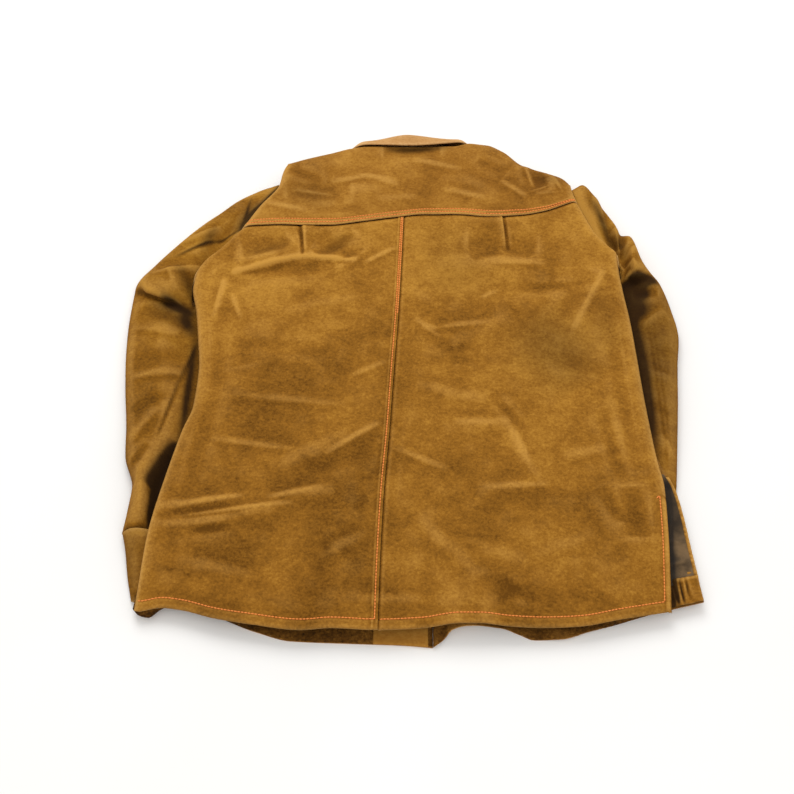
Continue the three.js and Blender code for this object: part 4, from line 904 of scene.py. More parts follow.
def yoke_surface(u: np.ndarray, v: np.ndarray) -> np.ndarray:
    """Return the points of the yoke's outer face: u runs left to right, v from its seam up."""
    left = Route(LEFT_ARMHOLE)
    right = Route(RIGHT_ARMHOLE)
    shoulder = Route(SHOULDER_LINE)
    plan = patch(yoke_line, shoulder, left, right)(u, v)
    x = plan[..., 0]
    y = plan[..., 1]
    left_edge = left(v)
    right_edge = right(v)
    top = shoulder(u)
    from_seam = apart(plan, yoke_line(u))
    sides = roll(np.minimum(apart(plan, left_edge), apart(plan, right_edge)), SIDE_ROLL)
    over = roll(apart(plan, top), SHOULDER_ROLL)
    lap = LAP * smooth((YOKE_LAP - from_seam) / YOKE_LAP_RAMP) + welt(from_seam, YOKE_ROWS, YOKE_TURN)
    folds = fold_height(YOKE_FOLDS + YOKE_CREASES, x, y)
    full = back_height(y) + folds + lap + BODY_RIPPLE(x, y)
    edge = np.where(sides < over, mix(left_edge[..., 2], right_edge[..., 2], u), top[..., 2])
    return np.stack([x, y, mix(edge, full, np.minimum(sides, over))], axis=-1)


@dataclass(frozen=True)
class Tube:
    """A flattened sleeve or cuff that lies on its lower half, with a crest near its outer edge."""

    rows: tuple[Station, ...]
    armhole: Route | None = None
    folds: tuple[Fold, ...] = ()
    lip_at: float = 0.0
    lip: float = 0.0

    def surface(self, u: np.ndarray, v: np.ndarray) -> np.ndarray:
        """Return the outer points: u runs once round from the outer edge, v from armhole to wrist."""
        at = v * self.rows[-1].at
        read = {name: column(self.rows, "at", name)(at) for name in Station._fields if name != "at"}
        upper = u <= 0.5
        share = np.where(upper, 2 * u, 2 - 2 * u)
        width = np.hypot(read["in_x"] - read["out_x"], read["in_y"] - read["out_y"])
        d = share * width
        hidden = smooth((d - read["crest"]) / read["fall"])
        climb = mix(CREST_START, 1.0, np.sin(math.pi / 2 * clamp01(d / read["crest"])))
        crown = mix(read["crest_z"] * climb, read["inner_z"], hidden)
        seat = np.minimum(mix(OUTER_SEAT, SLEEVE_SEAT, clamp01(d / SEAT_FADE)), crown / 2)
        nose = np.minimum(roll(d, SLEEVE_NOSE), roll(width - d, SLEEVE_SEAT))
        foot = np.minimum(roll(d, OUTER_FOOT), roll(width - d, SLEEVE_SEAT))
        x = mix(read["out_x"], read["in_x"], share)
        y = mix(read["out_y"], read["in_y"], share)
        if self.armhole is not None:
            first = self.rows[0]
            bow = 1 - smooth(at / ARMHOLE_FADE)
            curve = self.armhole(share)
            x = x + bow * (curve[..., 0] - mix(first.out_x, first.in_x, share))
            y = y + bow * (curve[..., 1] - mix(first.out_y, first.in_y, share))
        lively = smooth(d / SLEEVE_CALM) * smooth((width - d - SEAT_CALM) / SLEEVE_CALM)
        lively = lively * smooth((at - ARMHOLE_CALM) / ARMHOLE_CALM_RAMP)
        shape = fold_height(self.folds, x, y) + SLEEVE_RIPPLE(x, y) * (1 - hidden)
        top = mix(seat, crown, nose) + lively * shape
        z = read["lift"] + np.where(upper, top, seat * (1 - foot))
        if self.lip:
            reach = bump(at - self.lip_at, LIP_WIDTH) * smooth((d - LIP_FROM) / LIP_RAMP) * (1 - hidden)
            y = y - np.where(upper, self.lip * reach * smooth((z - LIP_Z) / LIP_RAMP), 0.0)
        return np.stack([x, y, z], axis=-1)


@dataclass(frozen=True)
class FrontHalf:
    """A front: it lies on the floor, climbs over the sleeve's hidden half and meets the back."""

    right: bool

    def edges(self) -> tuple[Reader, Reader, Reader, Reader, Reader]:
        """Return the hem, the top, the left and right edge and the edge at the side seam."""
        if self.right:
            rows = [row for row in SHOULDER_LINE if row.x >= FRONT_NECK_RIGHT[-1].x]
            top = Route([*FRONT_NECK_RIGHT, *rows[1:]])
            upper = [row for row in RIGHT_SIDE if row.y > FLAP_TOP]
            side = Route([*VENT_FLAP, *upper, *RIGHT_ARMHOLE[1:]])
            return Route(FRONT_HEM_RIGHT), top, Route(FRONT_EDGE_RIGHT), side, side
        rows = [row for row in SHOULDER_LINE if row.x <= FRONT_NECK_LEFT[0].x]
        top = Route([*rows, *FRONT_NECK_LEFT[1:]])
        side = Route([*FRONT_CORNER, *LEFT_SIDE[1:], *LEFT_ARMHOLE[1:]])
        return Route(FRONT_HEM_LEFT), top, side, Route(FRONT_EDGE_LEFT), side

    def surface(self, u: np.ndarray, v: np.ndarray) -> np.ndarray:
        """Return the points of the face that lies down, left to right and hem to shoulder."""
        bottom, top, left, right, side_route = self.edges()
        shelf = SHELF_RIGHT if self.right else SHELF_LEFT
        plan = patch(bottom, top, left, right)(u, v)
        x = plan[..., 0]
        y = plan[..., 1]
        side = side_route(v)
        from_side = apart(plan, side)
        tuck = EDGE_GAP + SUEDE + TIP_TUCK * smooth((v - TIP_FROM) / (1 - TIP_FROM))
        edge_z = np.maximum(side[..., 2] - tuck, 0)
        shelf_z = np.minimum(column(shelf, "y", "second")(y), edge_z)
        climb = mix(edge_z, shelf_z, smooth(from_side / SIDE_RISE))
        side_z = climb * (1 - smooth((from_side - column(shelf, "y", "first")(y)) / SHELF_FADE))
        from_top = np.maximum(column(SHOULDER_LINE, "x", "y")(x) - y, 0)
        top_z = (column(SHOULDER_LINE, "x", "z")(x) - tuck) * (1 - smooth(from_top / TOP_FADE))
        hem_z = bottom(u)[..., 2] * (1 - smooth(v / FRONT_HEM_SHARE))
        beside = NECK_REACH - np.abs(x - NECK_MIDDLE)
        neck_z = NECK_RISE * smooth((y - NECK_FROM) / NECK_RAMP) * smooth(beside / NECK_FADE)
        z = np.maximum.reduce([side_z, top_z, hem_z, neck_z])
        if self.right:
            reach_in = BUTTON_REACH - (x - FRONT_NECK_RIGHT[0].x)
            z = np.maximum(z, BUTTON_RISE * smooth(reach_in / BUTTON_RAMP))
        return np.stack([x, y, z], axis=-1)


def raised(surface: Surface, rise: float, extra: Surface | None = None) -> Surface:
    """Return the surface of a sheet that lies on the inner face of a front.

    Args:
        surface: The front's outer face.
        rise: How far the sheet's outer face stands over the seam gap.
        extra: The height to add, by u and v.

    Returns:
        The sheet's outer face.
    """

    def lifted(u: np.ndarray, v: np.ndarray) -> np.ndarray:
        """Return the lifted points at u and v."""
        points = surface(u, v)
        points[..., 2] += SUEDE + SEAM_GAP + rise
        if extra is not None:
            points[..., 2] += extra(u, v)
        return points

    return lifted


def collar_surface(rows: Sequence[CollarRow], bulge: float) -> Surface:
    """Return the surface of a collar piece: u runs from one front end to the other."""

    def surface(u: np.ndarray, v: np.ndarray) -> np.ndarray:
        """Return the collar's points at u and v."""
        at = u * COLLAR_ROWS
        read = {name: column(rows, "at", name)(at) for name in CollarRow._fields if name != "at"}
        points = [mix(read[axis], read[f"far_{axis}"], v) for axis in "xyz"]
        swell = bulge * np.sin(math.pi * v) * smooth((read["far_z"] - FALL_BULGE_FROM) / FALL_BULGE_RAMP)
        return np.stack([points[0], points[1] + swell / 2, points[2] + swell], axis=-1)

    return surface


class Finish(Enum):
    """The cloth finishes of the jacket."""

    SUEDE = "suede"
    YOKE = "yoke_suede"
    SLEEVE = "sleeve_suede"
    COLLAR = "collar_suede"
    FLESH = "flesh_side"
    RAW_EDGE = "raw_edge"
    FACING = "facing_suede"
    LINING = "lining_satin"
    THREAD = "orange_thread"
    BUTTON = "horn_button"
    FLOOR = "pale_floor"


def arithmetic(operation: str, swapped: bool = False) -> Callable[["Value", Any], "Value"]:
    """Return a method of Value that adds one kind of Math node.

    Args:
        operation: The Math node's operation.
        swapped: Whether the value is the second operand.

    Returns:
        The method.
    """

    def method(value: "Value", other: Any) -> "Value":
        """Return the result of the operation."""
        pair = (other, value) if swapped else (value, other)
        return value.nodes.add("ShaderNodeMath", {"operation": operation}, dict(enumerate(pair)))

    return method


@dataclass(frozen=True, eq=False)
class Value:
    """A socket or a number of a material, with arithmetic that adds Math nodes."""

    nodes: "Nodes"
    link: Any

    __add__ = arithmetic("ADD")
    __radd__ = arithmetic("ADD", swapped=True)
    __sub__ = arithmetic("SUBTRACT")
    __rsub__ = arithmetic("SUBTRACT", swapped=True)
    __mul__ = arithmetic("MULTIPLY")
    __rmul__ = arithmetic("MULTIPLY", swapped=True)


class Nodes:
    """A new material's node tree."""

    def __init__(self, finish: Finish) -> None:
        """Make the material with its shader."""
        self.material = bpy.data.materials.new(finish.value)
        self.material.use_nodes = True
        self.tree = self.material.node_tree
        self.shader = self.tree.nodes["Principled BSDF"]

    def add(self, kind: str, settings: dict[str, Any], inputs: dict[Any, Any], output: Any = 0) -> Value:
        """Add one node.

        Args:
            kind: The node's type.
            settings: Its own settings, set before its sockets.
            inputs: The values or links of its sockets, by name or number.
            output: The socket that is returned.

        Returns:
            The node's output.
        """
        node = self.tree.nodes.new(kind)
        for name, value in settings.items():
            setattr(node, name, value)
        for name, value in inputs.items():
            self.feed(node.inputs[name], value)
        return Value(self, node.outputs[output])

    def feed(self, socket: Any, value: Any) -> None:
        """Link a socket to a value, or set it."""
        if isinstance(value, Value):
            self.tree.links.new(value.link, socket)
        else:
            socket.default_value = value

    def noise(self, place: Value, layer: Layer) -> Value:
        """Return a noise that runs from about 0 to 1."""
        scale, detail, warp, rough = layer
        sockets = {"Vector": place, "Scale": scale, "Detail": detail, "Distortion": warp, "Roughness": rough}
        return self.add("ShaderNodeTexNoise", {}, sockets)

    def attribute(self, name: str) -> Value:
        """Return a per-vertex value."""
        return self.add("ShaderNodeAttribute", {"attribute_name": name}, {}, "Fac")

    def spread(self, value: Value, low: float, high: float) -> Value:
        """Return value stretched so that low to high becomes 0 to 1, held there."""
        sockets = {"Value": value, "From Min": low, "From Max": high}
        return self.add("ShaderNodeMapRange", {"interpolation_type": "SMOOTHSTEP"}, sockets)

    def blend(self, share: Any, first: Any, second: Any) -> Value:
        """Return two colours mixed by share."""
        return self.add("ShaderNodeMix", {"data_type": "RGBA"}, {0: share, 6: first, 7: second}, 2)

    def ramp(self, value: Value, stops: Sequence[tuple[float, tuple[int, int, int]]]) -> Value:
        """Return the colour of a ramp whose stops are a place and an sRGB colour."""
        node = self.tree.nodes.new("ShaderNodeValToRGB")
        marks = node.color_ramp.elements
        while len(marks) < len(stops):
            marks.new(0.5)
        for mark, (place, colour) in zip(marks, stops):
            mark.position = place
            mark.color = linear(colour)
        self.feed(node.inputs[0], value)
        return Value(self, node.outputs[0])

    def finish(self, constants: dict[str, Any], sockets: dict[str, Any]) -> bpy.types.Material:
        """Set the shader's constants and links and return the material."""
        for name, value in {**constants, **sockets}.items():
            self.feed(self.shader.inputs[name], value)
        return self.material


def linear(colour: tuple[int, int, int]) -> tuple[float, float, float, float]:
    """Return an sRGB colour of 0 to 255 as linear light."""
    parts = [c / 255 for c in colour]
    bright = [c / 12.92 if c <= 0.04045 else ((c + 0.055) / 1.055) ** 2.4 for c in parts]
    return (bright[0], bright[1], bright[2], 1.0)


@dataclass(frozen=True)
class SuedeFinish:
    """Brushed suede: mottled, streaked nap and a fine speckle, with painted light: ridges and rolled edges
    lighter as painted highlight and rub wear, troughs darker as painted shade, lighter towards the top, and
    darker where its shade mask is set.
    """

    finish: Finish
    dark: tuple[int, int, int]
    middle: tuple[int, int, int]
    light: tuple[int, int, int]
    # The colour of worn and highlighted cloth
    worn_and_lit: tuple[int, int, int]
    # The deep brown of painted shade
    shade_colour: tuple[int, int, int] = (34, 19, 6)
    # How much lighter the cloth grows towards the top: a painted light gradient
    climb: float = 0.0
    speckle: float = 0.19
    fur: float = 0.35
    seed: float = 0.0

    def build(self) -> bpy.types.Material:
        """Return the material."""
        nodes = Nodes(self.finish)
        place = nodes.add("ShaderNodeTexCoord", {}, {}, "Object")
        moved = nodes.add("ShaderNodeMapping", {}, {"Vector": place, "Location": (self.seed, 0.0, 0.0)})
        brushed = nodes.add(
            "ShaderNodeMapping", {}, {"Vector": moved, "Rotation": BRUSH_TURN, "Scale": BRUSH_SCALE}
        )
        mottle = nodes.spread(nodes.noise(moved, MOTTLE), 0.3, 0.7)
        blotch = nodes.spread(nodes.noise(moved, BLOTCH), 0.28, 0.72)
        streak = nodes.spread(nodes.noise(brushed, STREAK), 0.3, 0.7)
        nap = nodes.noise(moved, NAP)
        grain = nodes.noise(brushed, GRAIN)
        relief = nodes.attribute("relief")
        wear_and_highlight = nodes.attribute("wear_and_highlight")
        # Painted light: the tone grows lighter up the body, towards the key lamp beyond the collar
        part = nodes.add("ShaderNodeSeparateXYZ", {}, {"Vector": place}, "Y")
        up = nodes.spread(part, *PAINTED_LIGHT_SPAN) - 0.5
        tone = mottle * MOTTLE_SHARE + blotch * BLOTCH_SHARE + streak * STREAK_SHARE + up * self.climb
        # Painted light and shade: ridges of the relief lighter, troughs darker
        tone = tone + relief * RELIEF_PAINTED_LIGHT + TONE_BASE
        tone = tone + (nap - 0.5) * self.speckle * NAP_SHARE + (grain - 0.5) * self.speckle * GRAIN_SHARE
        stops = ((0.12, self.dark), (0.5, self.middle), (0.88, self.light))
        colour = nodes.ramp(tone, stops)
        held = {"operation": "MULTIPLY", "use_clamp": True}
        # Lighter where worn: rub wear, and painted highlight on ridges and along the rolled side edge
        worn_and_lit_share = nodes.add("ShaderNodeMath", held, {0: wear_and_highlight, 1: nap * 1.5})
        colour = nodes.blend(worn_and_lit_share * WEAR_AND_HIGHLIGHT_COVER, colour, linear(self.worn_and_lit))
        # Painted shade: darkened toward a deep brown where the shade mask is set
        colour = nodes.blend(nodes.attribute("shade") * SHADE_COVER, colour, linear(self.shade_colour))
        height = nap * 0.5 + grain * 0.8 + blotch * 0.5
        bumped = nodes.add(
            "ShaderNodeBump", {}, {"Height": height, "Strength": self.fur, "Distance": 0.0012}
        )
        rough = 0.86 + nap * 0.14
        constants = {"Specular IOR Level": 0.1, "Sheen Weight": 0.12, "Sheen Roughness": 0.45}
        constants["Sheen Tint"] = linear(self.light)
        return nodes.finish(constants, {"Base Color": colour, "Roughness": rough, "Normal": bumped})


@dataclass(frozen=True)
class SatinFinish:
    """The brown-grey lining: a smooth woven satin with soft light along its puckers."""

    finish: Finish
    dark: tuple[int, int, int]
    light: tuple[int, int, int]
    # The dark brown of painted shade
    shade_colour: tuple[int, int, int] = (24, 18, 12)

    def build(self) -> bpy.types.Material:
        """Return the material."""
        nodes = Nodes(self.finish)
        place = nodes.add("ShaderNodeTexCoord", {}, {}, "Object")
        threads = nodes.add("ShaderNodeMapping", {}, {"Vector": place, "Scale": (1.0, 9.0, 1.0)})
        weave = nodes.noise(threads, WEAVE)
        cloud = nodes.spread(nodes.noise(place, CLOUD), 0.3, 0.7)
        tone = cloud * 0.6 + (weave - 0.5) * 0.5 + nodes.attribute("relief") * 0.35 + 0.2
        colour = nodes.ramp(tone, ((0.05, self.dark), (0.85, self.light)))
        # Painted shade beside the back's edge and towards the lining's top
        colour = nodes.blend(nodes.attribute("shade") * 0.9, colour, linear(self.shade_colour))
        bumped = nodes.add("ShaderNodeBump", {}, {"Height": weave, "Strength": 0.12, "Distance": 0.0004})
        constants = {"Specular IOR Level": 0.15, "Sheen Weight": 0.05}
        rough = 0.5 + weave * 0.15
        return nodes.finish(constants, {"Base Color": colour, "Roughness": rough, "Normal": bumped})


@dataclass(frozen=True)
class PlainFinish:
    """A hard or spun finish with a little variation: thread, horn and the floor."""

    finish: Finish
    first: tuple[int, int, int]
    second: tuple[int, int, int]
    scale: float
    roughness: float
    strength: float

    def build(self) -> bpy.types.Material:
        """Return the material."""
        nodes = Nodes(self.finish)
        place = nodes.add("ShaderNodeTexCoord", {}, {}, "Object")
        cloud = nodes.noise(place, Layer(self.scale, 3.0, 0.4))
        colour = nodes.ramp(cloud, ((0.3, self.first), (0.7, self.second)))
        fine = {"Height": cloud, "Strength": self.strength, "Distance": 0.0003}
        bumped = nodes.add("ShaderNodeBump", {}, fine)
        rough = self.roughness + (cloud - 0.5) * 0.1
        sockets = {"Base Color": colour, "Roughness": rough, "Normal": bumped}
        return nodes.finish({"Specular IOR Level": 0.3}, sockets)


# The nap's noises, and how much each adds to the tone; also the painted light and shade of the relief and of
# the rise up the body, the wear and painted highlight, and the painted shade
MOTTLE = Layer(8.5, 3.0, 0.5)
BLOTCH = Layer(34.0, 4.0, 0.6, 0.6)
STREAK = Layer(52.0, 4.0, 1.0, 0.6)
NAP = Layer(330.0, 4.0, 0.4, 0.7)
GRAIN = Layer(170.0, 3.0, 0.5, 0.65)
WEAVE = Layer(900.0, 2.0)
CLOUD = Layer(60.0, 3.0)
BRUSH_TURN = (0.0, 0.0, 0.9)
BRUSH_SCALE = (1.0, 1.7, 1.0)
PAINTED_LIGHT_SPAN = (-0.35, 0.36)
MOTTLE_SHARE = 0.3
BLOTCH_SHARE = 0.15
STREAK_SHARE = 0.1
RELIEF_PAINTED_LIGHT = 0.24
TONE_BASE = 0.225
NAP_SHARE = 4.2
GRAIN_SHARE = 2.2
WEAR_AND_HIGHLIGHT_COVER = 0.75
SHADE_COVER = 0.92

# Each suede: its dark, middle and light tone, then its worn and highlighted colour; climb is its painted
# light gradient up the body
FINISHES = (
    SuedeFinish(Finish.SUEDE, (98, 61, 11), (146, 97, 29), (184, 132, 50), (206, 156, 82), climb=0.22),
    SuedeFinish(Finish.YOKE, (106, 66, 14), (146, 97, 31), (178, 127, 50), (206, 158, 86), seed=3.0),
    SuedeFinish(
        Finish.SLEEVE, (88, 55, 9), (133, 87, 21), (168, 119, 39), (198, 150, 80),
        climb=0.2, seed=5.0,
    ),
    SuedeFinish(Finish.COLLAR, (148, 102, 52), (182, 132, 75), (204, 159, 103), (222, 182, 128), seed=7.0),
    SuedeFinish(
        Finish.FLESH, (52, 31, 8), (106, 68, 22), (148, 102, 40), (160, 114, 52),
        speckle=0.3, fur=0.8, seed=9.0,
    ),
    SuedeFinish(
        Finish.RAW_EDGE, (118, 80, 32), (158, 112, 54), (196, 150, 86), (220, 180, 118),
        speckle=0.3, seed=11.0,
    ),
    SuedeFinish(
        Finish.FACING, (122, 79, 24), (164, 111, 41), (192, 141, 62), (206, 158, 84),
        speckle=0.12, seed=13.0,
    ),
    SatinFinish(Finish.LINING, (60, 46, 28), (124, 98, 66)),
    PlainFinish(Finish.THREAD, (220, 120, 50), (244, 152, 76), 900.0, 0.75, 0.4),
    PlainFinish(Finish.BUTTON, (44, 26, 14), (86, 54, 30), 160.0, 0.35, 0.15),
    PlainFinish(Finish.FLOOR, (244, 243, 241), (250, 249, 247), 2.0, 0.9, 0.02),
)
MATERIALS: dict[Finish, bpy.types.Material] = {}
PLAIN = (Finish.SUEDE, Finish.FLESH, Finish.RAW_EDGE)


def even(count: int) -> np.ndarray:
    """Return count + 1 even shares."""
    return np.linspace(0, 1, count + 1)


def warped(stops: Sequence[tuple[float, float, int]]) -> np.ndarray:
    """Return shares with their own density in each stretch, which is a start, an end and a count."""
    pieces = [np.linspace(start, end, count, endpoint=False) for start, end, count in stops]
    return np.concatenate([*pieces, [stops[-1][1]]])


@dataclass
class Cloth:
    """A sheet of cloth on a surface, made from a grid whose points are moved onto it."""

    name: str
    surface: Surface
    us: np.ndarray
    vs: np.ndarray
    finishes: tuple[Finish, Finish, Finish]
    slot: str
    nodes: tuple[str, ...]
    flat: tuple[float, float]
    wall: float = SUEDE
    area: float | None = None
    flip: bool = False
    ring: bool = False
    thick_hem: float = 0.0
    held: str = "laid"
    rests_on: tuple[str, ...] = ()
    # How much lighter the cloth is: rub wear and painted highlight
    wear_and_highlight: Callable[[np.ndarray, np.ndarray, np.ndarray], np.ndarray] | None = None
    # Folds of painted shade, which darken the colour
    shades: tuple[Fold, ...] = ()

    def build(self) -> bpy.types.Object:
        points, mesh = self.move_grid()
        self.write_relief(mesh, points)
        piece = linked(self.name, mesh)
        for finish in self.finishes:
            mesh.materials.append(MATERIALS[finish])
        wall = piece.modifiers.new("wall", "SOLIDIFY")
        wall.thickness = (self.wall + self.thick_hem) * MM
        wall.offset = -1.0
        wall.use_even_offset = False
        wall.material_offset = 1
        wall.material_offset_rim = 2
        if self.thick_hem:
            group = piece.vertex_groups.new(name="hem")
            usual = self.wall / (self.wall + self.thick_hem)
            turned = self.in_hem(len(mesh.vertices))
            group.add([int(i) for i in np.flatnonzero(~turned)], usual, "REPLACE")
            group.add([int(i) for i in np.flatnonzero(turned)], 1.0, "REPLACE")
            wall.vertex_group = "hem"
        self.declare(piece)
        return piece

    def grid_shares(self) -> tuple[np.ndarray, np.ndarray]:
        """Return u and v of every point of the grid, row by row."""
        u, v = np.meshgrid(self.us, self.vs)
        return u.ravel(), v.ravel()

    def in_hem(self, count: int) -> np.ndarray:
        """Return which points lie in the turned hem."""
        return self.grid_shares()[1][:count] <= HEM_TURN / PANEL_LENGTH

    def move_grid(self) -> tuple[np.ndarray, bpy.types.Mesh]:
        """Make the grid and move its points onto the surface.

        Returns:
            The points in millimetres and the mesh in metres.
        """
        u, v = self.grid_shares()
        points = self.surface(u, v)
        places = (points - LAY_CENTRE) * MM
        grid = bmesh.new()
        bmesh.ops.create_grid(grid, x_segments=len(self.us) - 1, y_segments=len(self.vs) - 1, size=0.5)
        for vert, place in zip(grid.verts, places):
            vert.co = place
        for face in grid.faces:
            face.smooth = True
        if self.flip:
            bmesh.ops.reverse_faces(grid, faces=grid.faces[:])
        return points, poured(self.name, grid)

    def write_relief(self, mesh: bpy.types.Mesh, points: np.ndarray) -> None:
        """Write how far each point stands over its surroundings, how much it is lightened by rub wear and
        painted highlight, and its painted shade.
        """
        shape = (len(self.vs), len(self.us))
        height = points[:, 2].reshape(shape)
        around = height.copy()
        for _ in range(RELIEF_PASSES):
            wide = np.pad(around, 1, mode="wrap" if self.ring else "edge")
            around = (wide[:-2, 1:-1] + wide[2:, 1:-1] + wide[1:-1, :-2] + wide[1:-1, 2:]) / 4
        relief = np.clip(height - around, -RELIEF_LIMIT, RELIEF_LIMIT).ravel()
        u, v = self.grid_shares()
        if self.ring:
            relief = relief * smooth(u / RELIEF_FADE) * smooth((0.5 - u) / RELIEF_FADE)
        # Ridges are lightened: painted highlight, partly rub wear
        worn_and_lit_share = np.clip(relief, 0, RIDGE_HIGHLIGHT_AND_WEAR_LIMIT) * RIDGE_HIGHLIGHT_AND_WEAR_SHARE
        if self.wear_and_highlight is not None:
            worn_and_lit_share = worn_and_lit_share + self.wear_and_highlight(u, v, points)
        # Painted shade, from the piece's table of shade folds
        shade = clamp01(fold_height(self.shades, points[:, 0], points[:, 1]))
        for name, values in (("relief", relief), ("wear_and_highlight", worn_and_lit_share), ("shade", shade)):
            layer = mesh.attributes.new(name, "FLOAT", "POINT")
            layer.data.foreach_set("value", values.astype(np.float32))

    def declare(self, piece: bpy.types.Object) -> None:
        """Weld a ring, hang the piece on the body and hide the imported parts that it stands for."""
        if self.ring:
            weld_ring(piece.data)
        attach(piece, BODY)
        if self.nodes:
            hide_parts(*self.nodes)


def weld_ring(mesh: bpy.types.Mesh) -> None:
    """Join the first and last column of a ring."""
    ring = bmesh.new()
    ring.from_mesh(mesh)
    bmesh.ops.remove_doubles(ring, verts=ring.verts[:], dist=WELD_REACH)
    ring.to_mesh(mesh)
    ring.free()


@dataclass
class StitchRow:
    """A row of thread stitches along a path that lies on a surface."""

    surface: Surface
    path: np.ndarray
    pitch: float = 3.8
    length: float = 4.2
    thick: float = 0.85
    rise: float = 0.3

    def add_to(self, mesh: bmesh.types.BMesh, draws: np.random.Generator) -> int:
        """Add the row's stitches to a mesh and return how many there are."""
        shares = np.linspace(0, 1, PATH_SAMPLES)
        marks = even(len(self.path) - 1)
        points = self.surface(*(np.interp(shares, marks, self.path[:, i]) for i in (0, 1)))
        walked = np.concatenate([[0.0], np.cumsum(np.linalg.norm(np.diff(points, axis=0), axis=1))])
        count = int(walked[-1] / self.pitch)
        for i in range(count):
            middle = (i + 0.5) * self.pitch + draws.uniform(-STITCH_JITTER, STITCH_JITTER)
            ends = [self.at(walked, points, middle + side * self.length / 2) for side in (-1, 1)]
            along = Vector((ends[1] - ends[0]) * MM)
            centre = Vector(((ends[0] + ends[1]) / 2 + (0, 0, self.rise) - LAY_CENTRE) * MM)
            turn = along.to_track_quat("X", "Z").to_matrix().to_4x4()
            tilt = Matrix.Rotation(draws.uniform(-STITCH_TILT, STITCH_TILT), 4, "Z")
            half = (self.length / 2 * MM, self.thick * MM, self.thick * MM * STITCH_FLATNESS, 1.0)
            matrix = Matrix.Translation(centre) @ turn @ tilt @ Matrix.Diagonal(half)
            bmesh.ops.create_uvsphere(mesh, u_segments=6, v_segments=4, radius=1.0, matrix=matrix)
        return count

    @staticmethod
    def at(walked: np.ndarray, points: np.ndarray, distance: float) -> np.ndarray:
        """Return the point at a distance along the path."""
        return np.array([np.interp(distance, walked, points[:, i]) for i in range(3)])


def line(*corners: tuple[float, float]) -> np.ndarray:
    """Return a path through corners in u and v, evenly filled."""
    spots = np.array(corners, float)
    return np.column_stack([np.interp(even(PATH_FILL), even(len(spots) - 1), spots[:, i]) for i in (0, 1)])


@dataclass
class Stitching:
    """All the thread of one seam or edge, joined in one piece."""

    name: str
    rows: list[StitchRow]
    seed: int

    def build(self) -> bpy.types.Object:
        """Build the stitches."""
        draws = np.random.default_rng(self.seed)
        thread = bmesh.new()
        count = sum(row.add_to(thread, draws) for row in self.rows)
        for face in thread.faces:
            face.smooth = True
        mesh = poured(self.name, thread)
        mesh.materials.append(MATERIALS[Finish.THREAD])
        piece = linked(self.name, mesh)
        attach(piece, BODY)
        log.info("%s: %d stitches", self.name, count)
        return piece


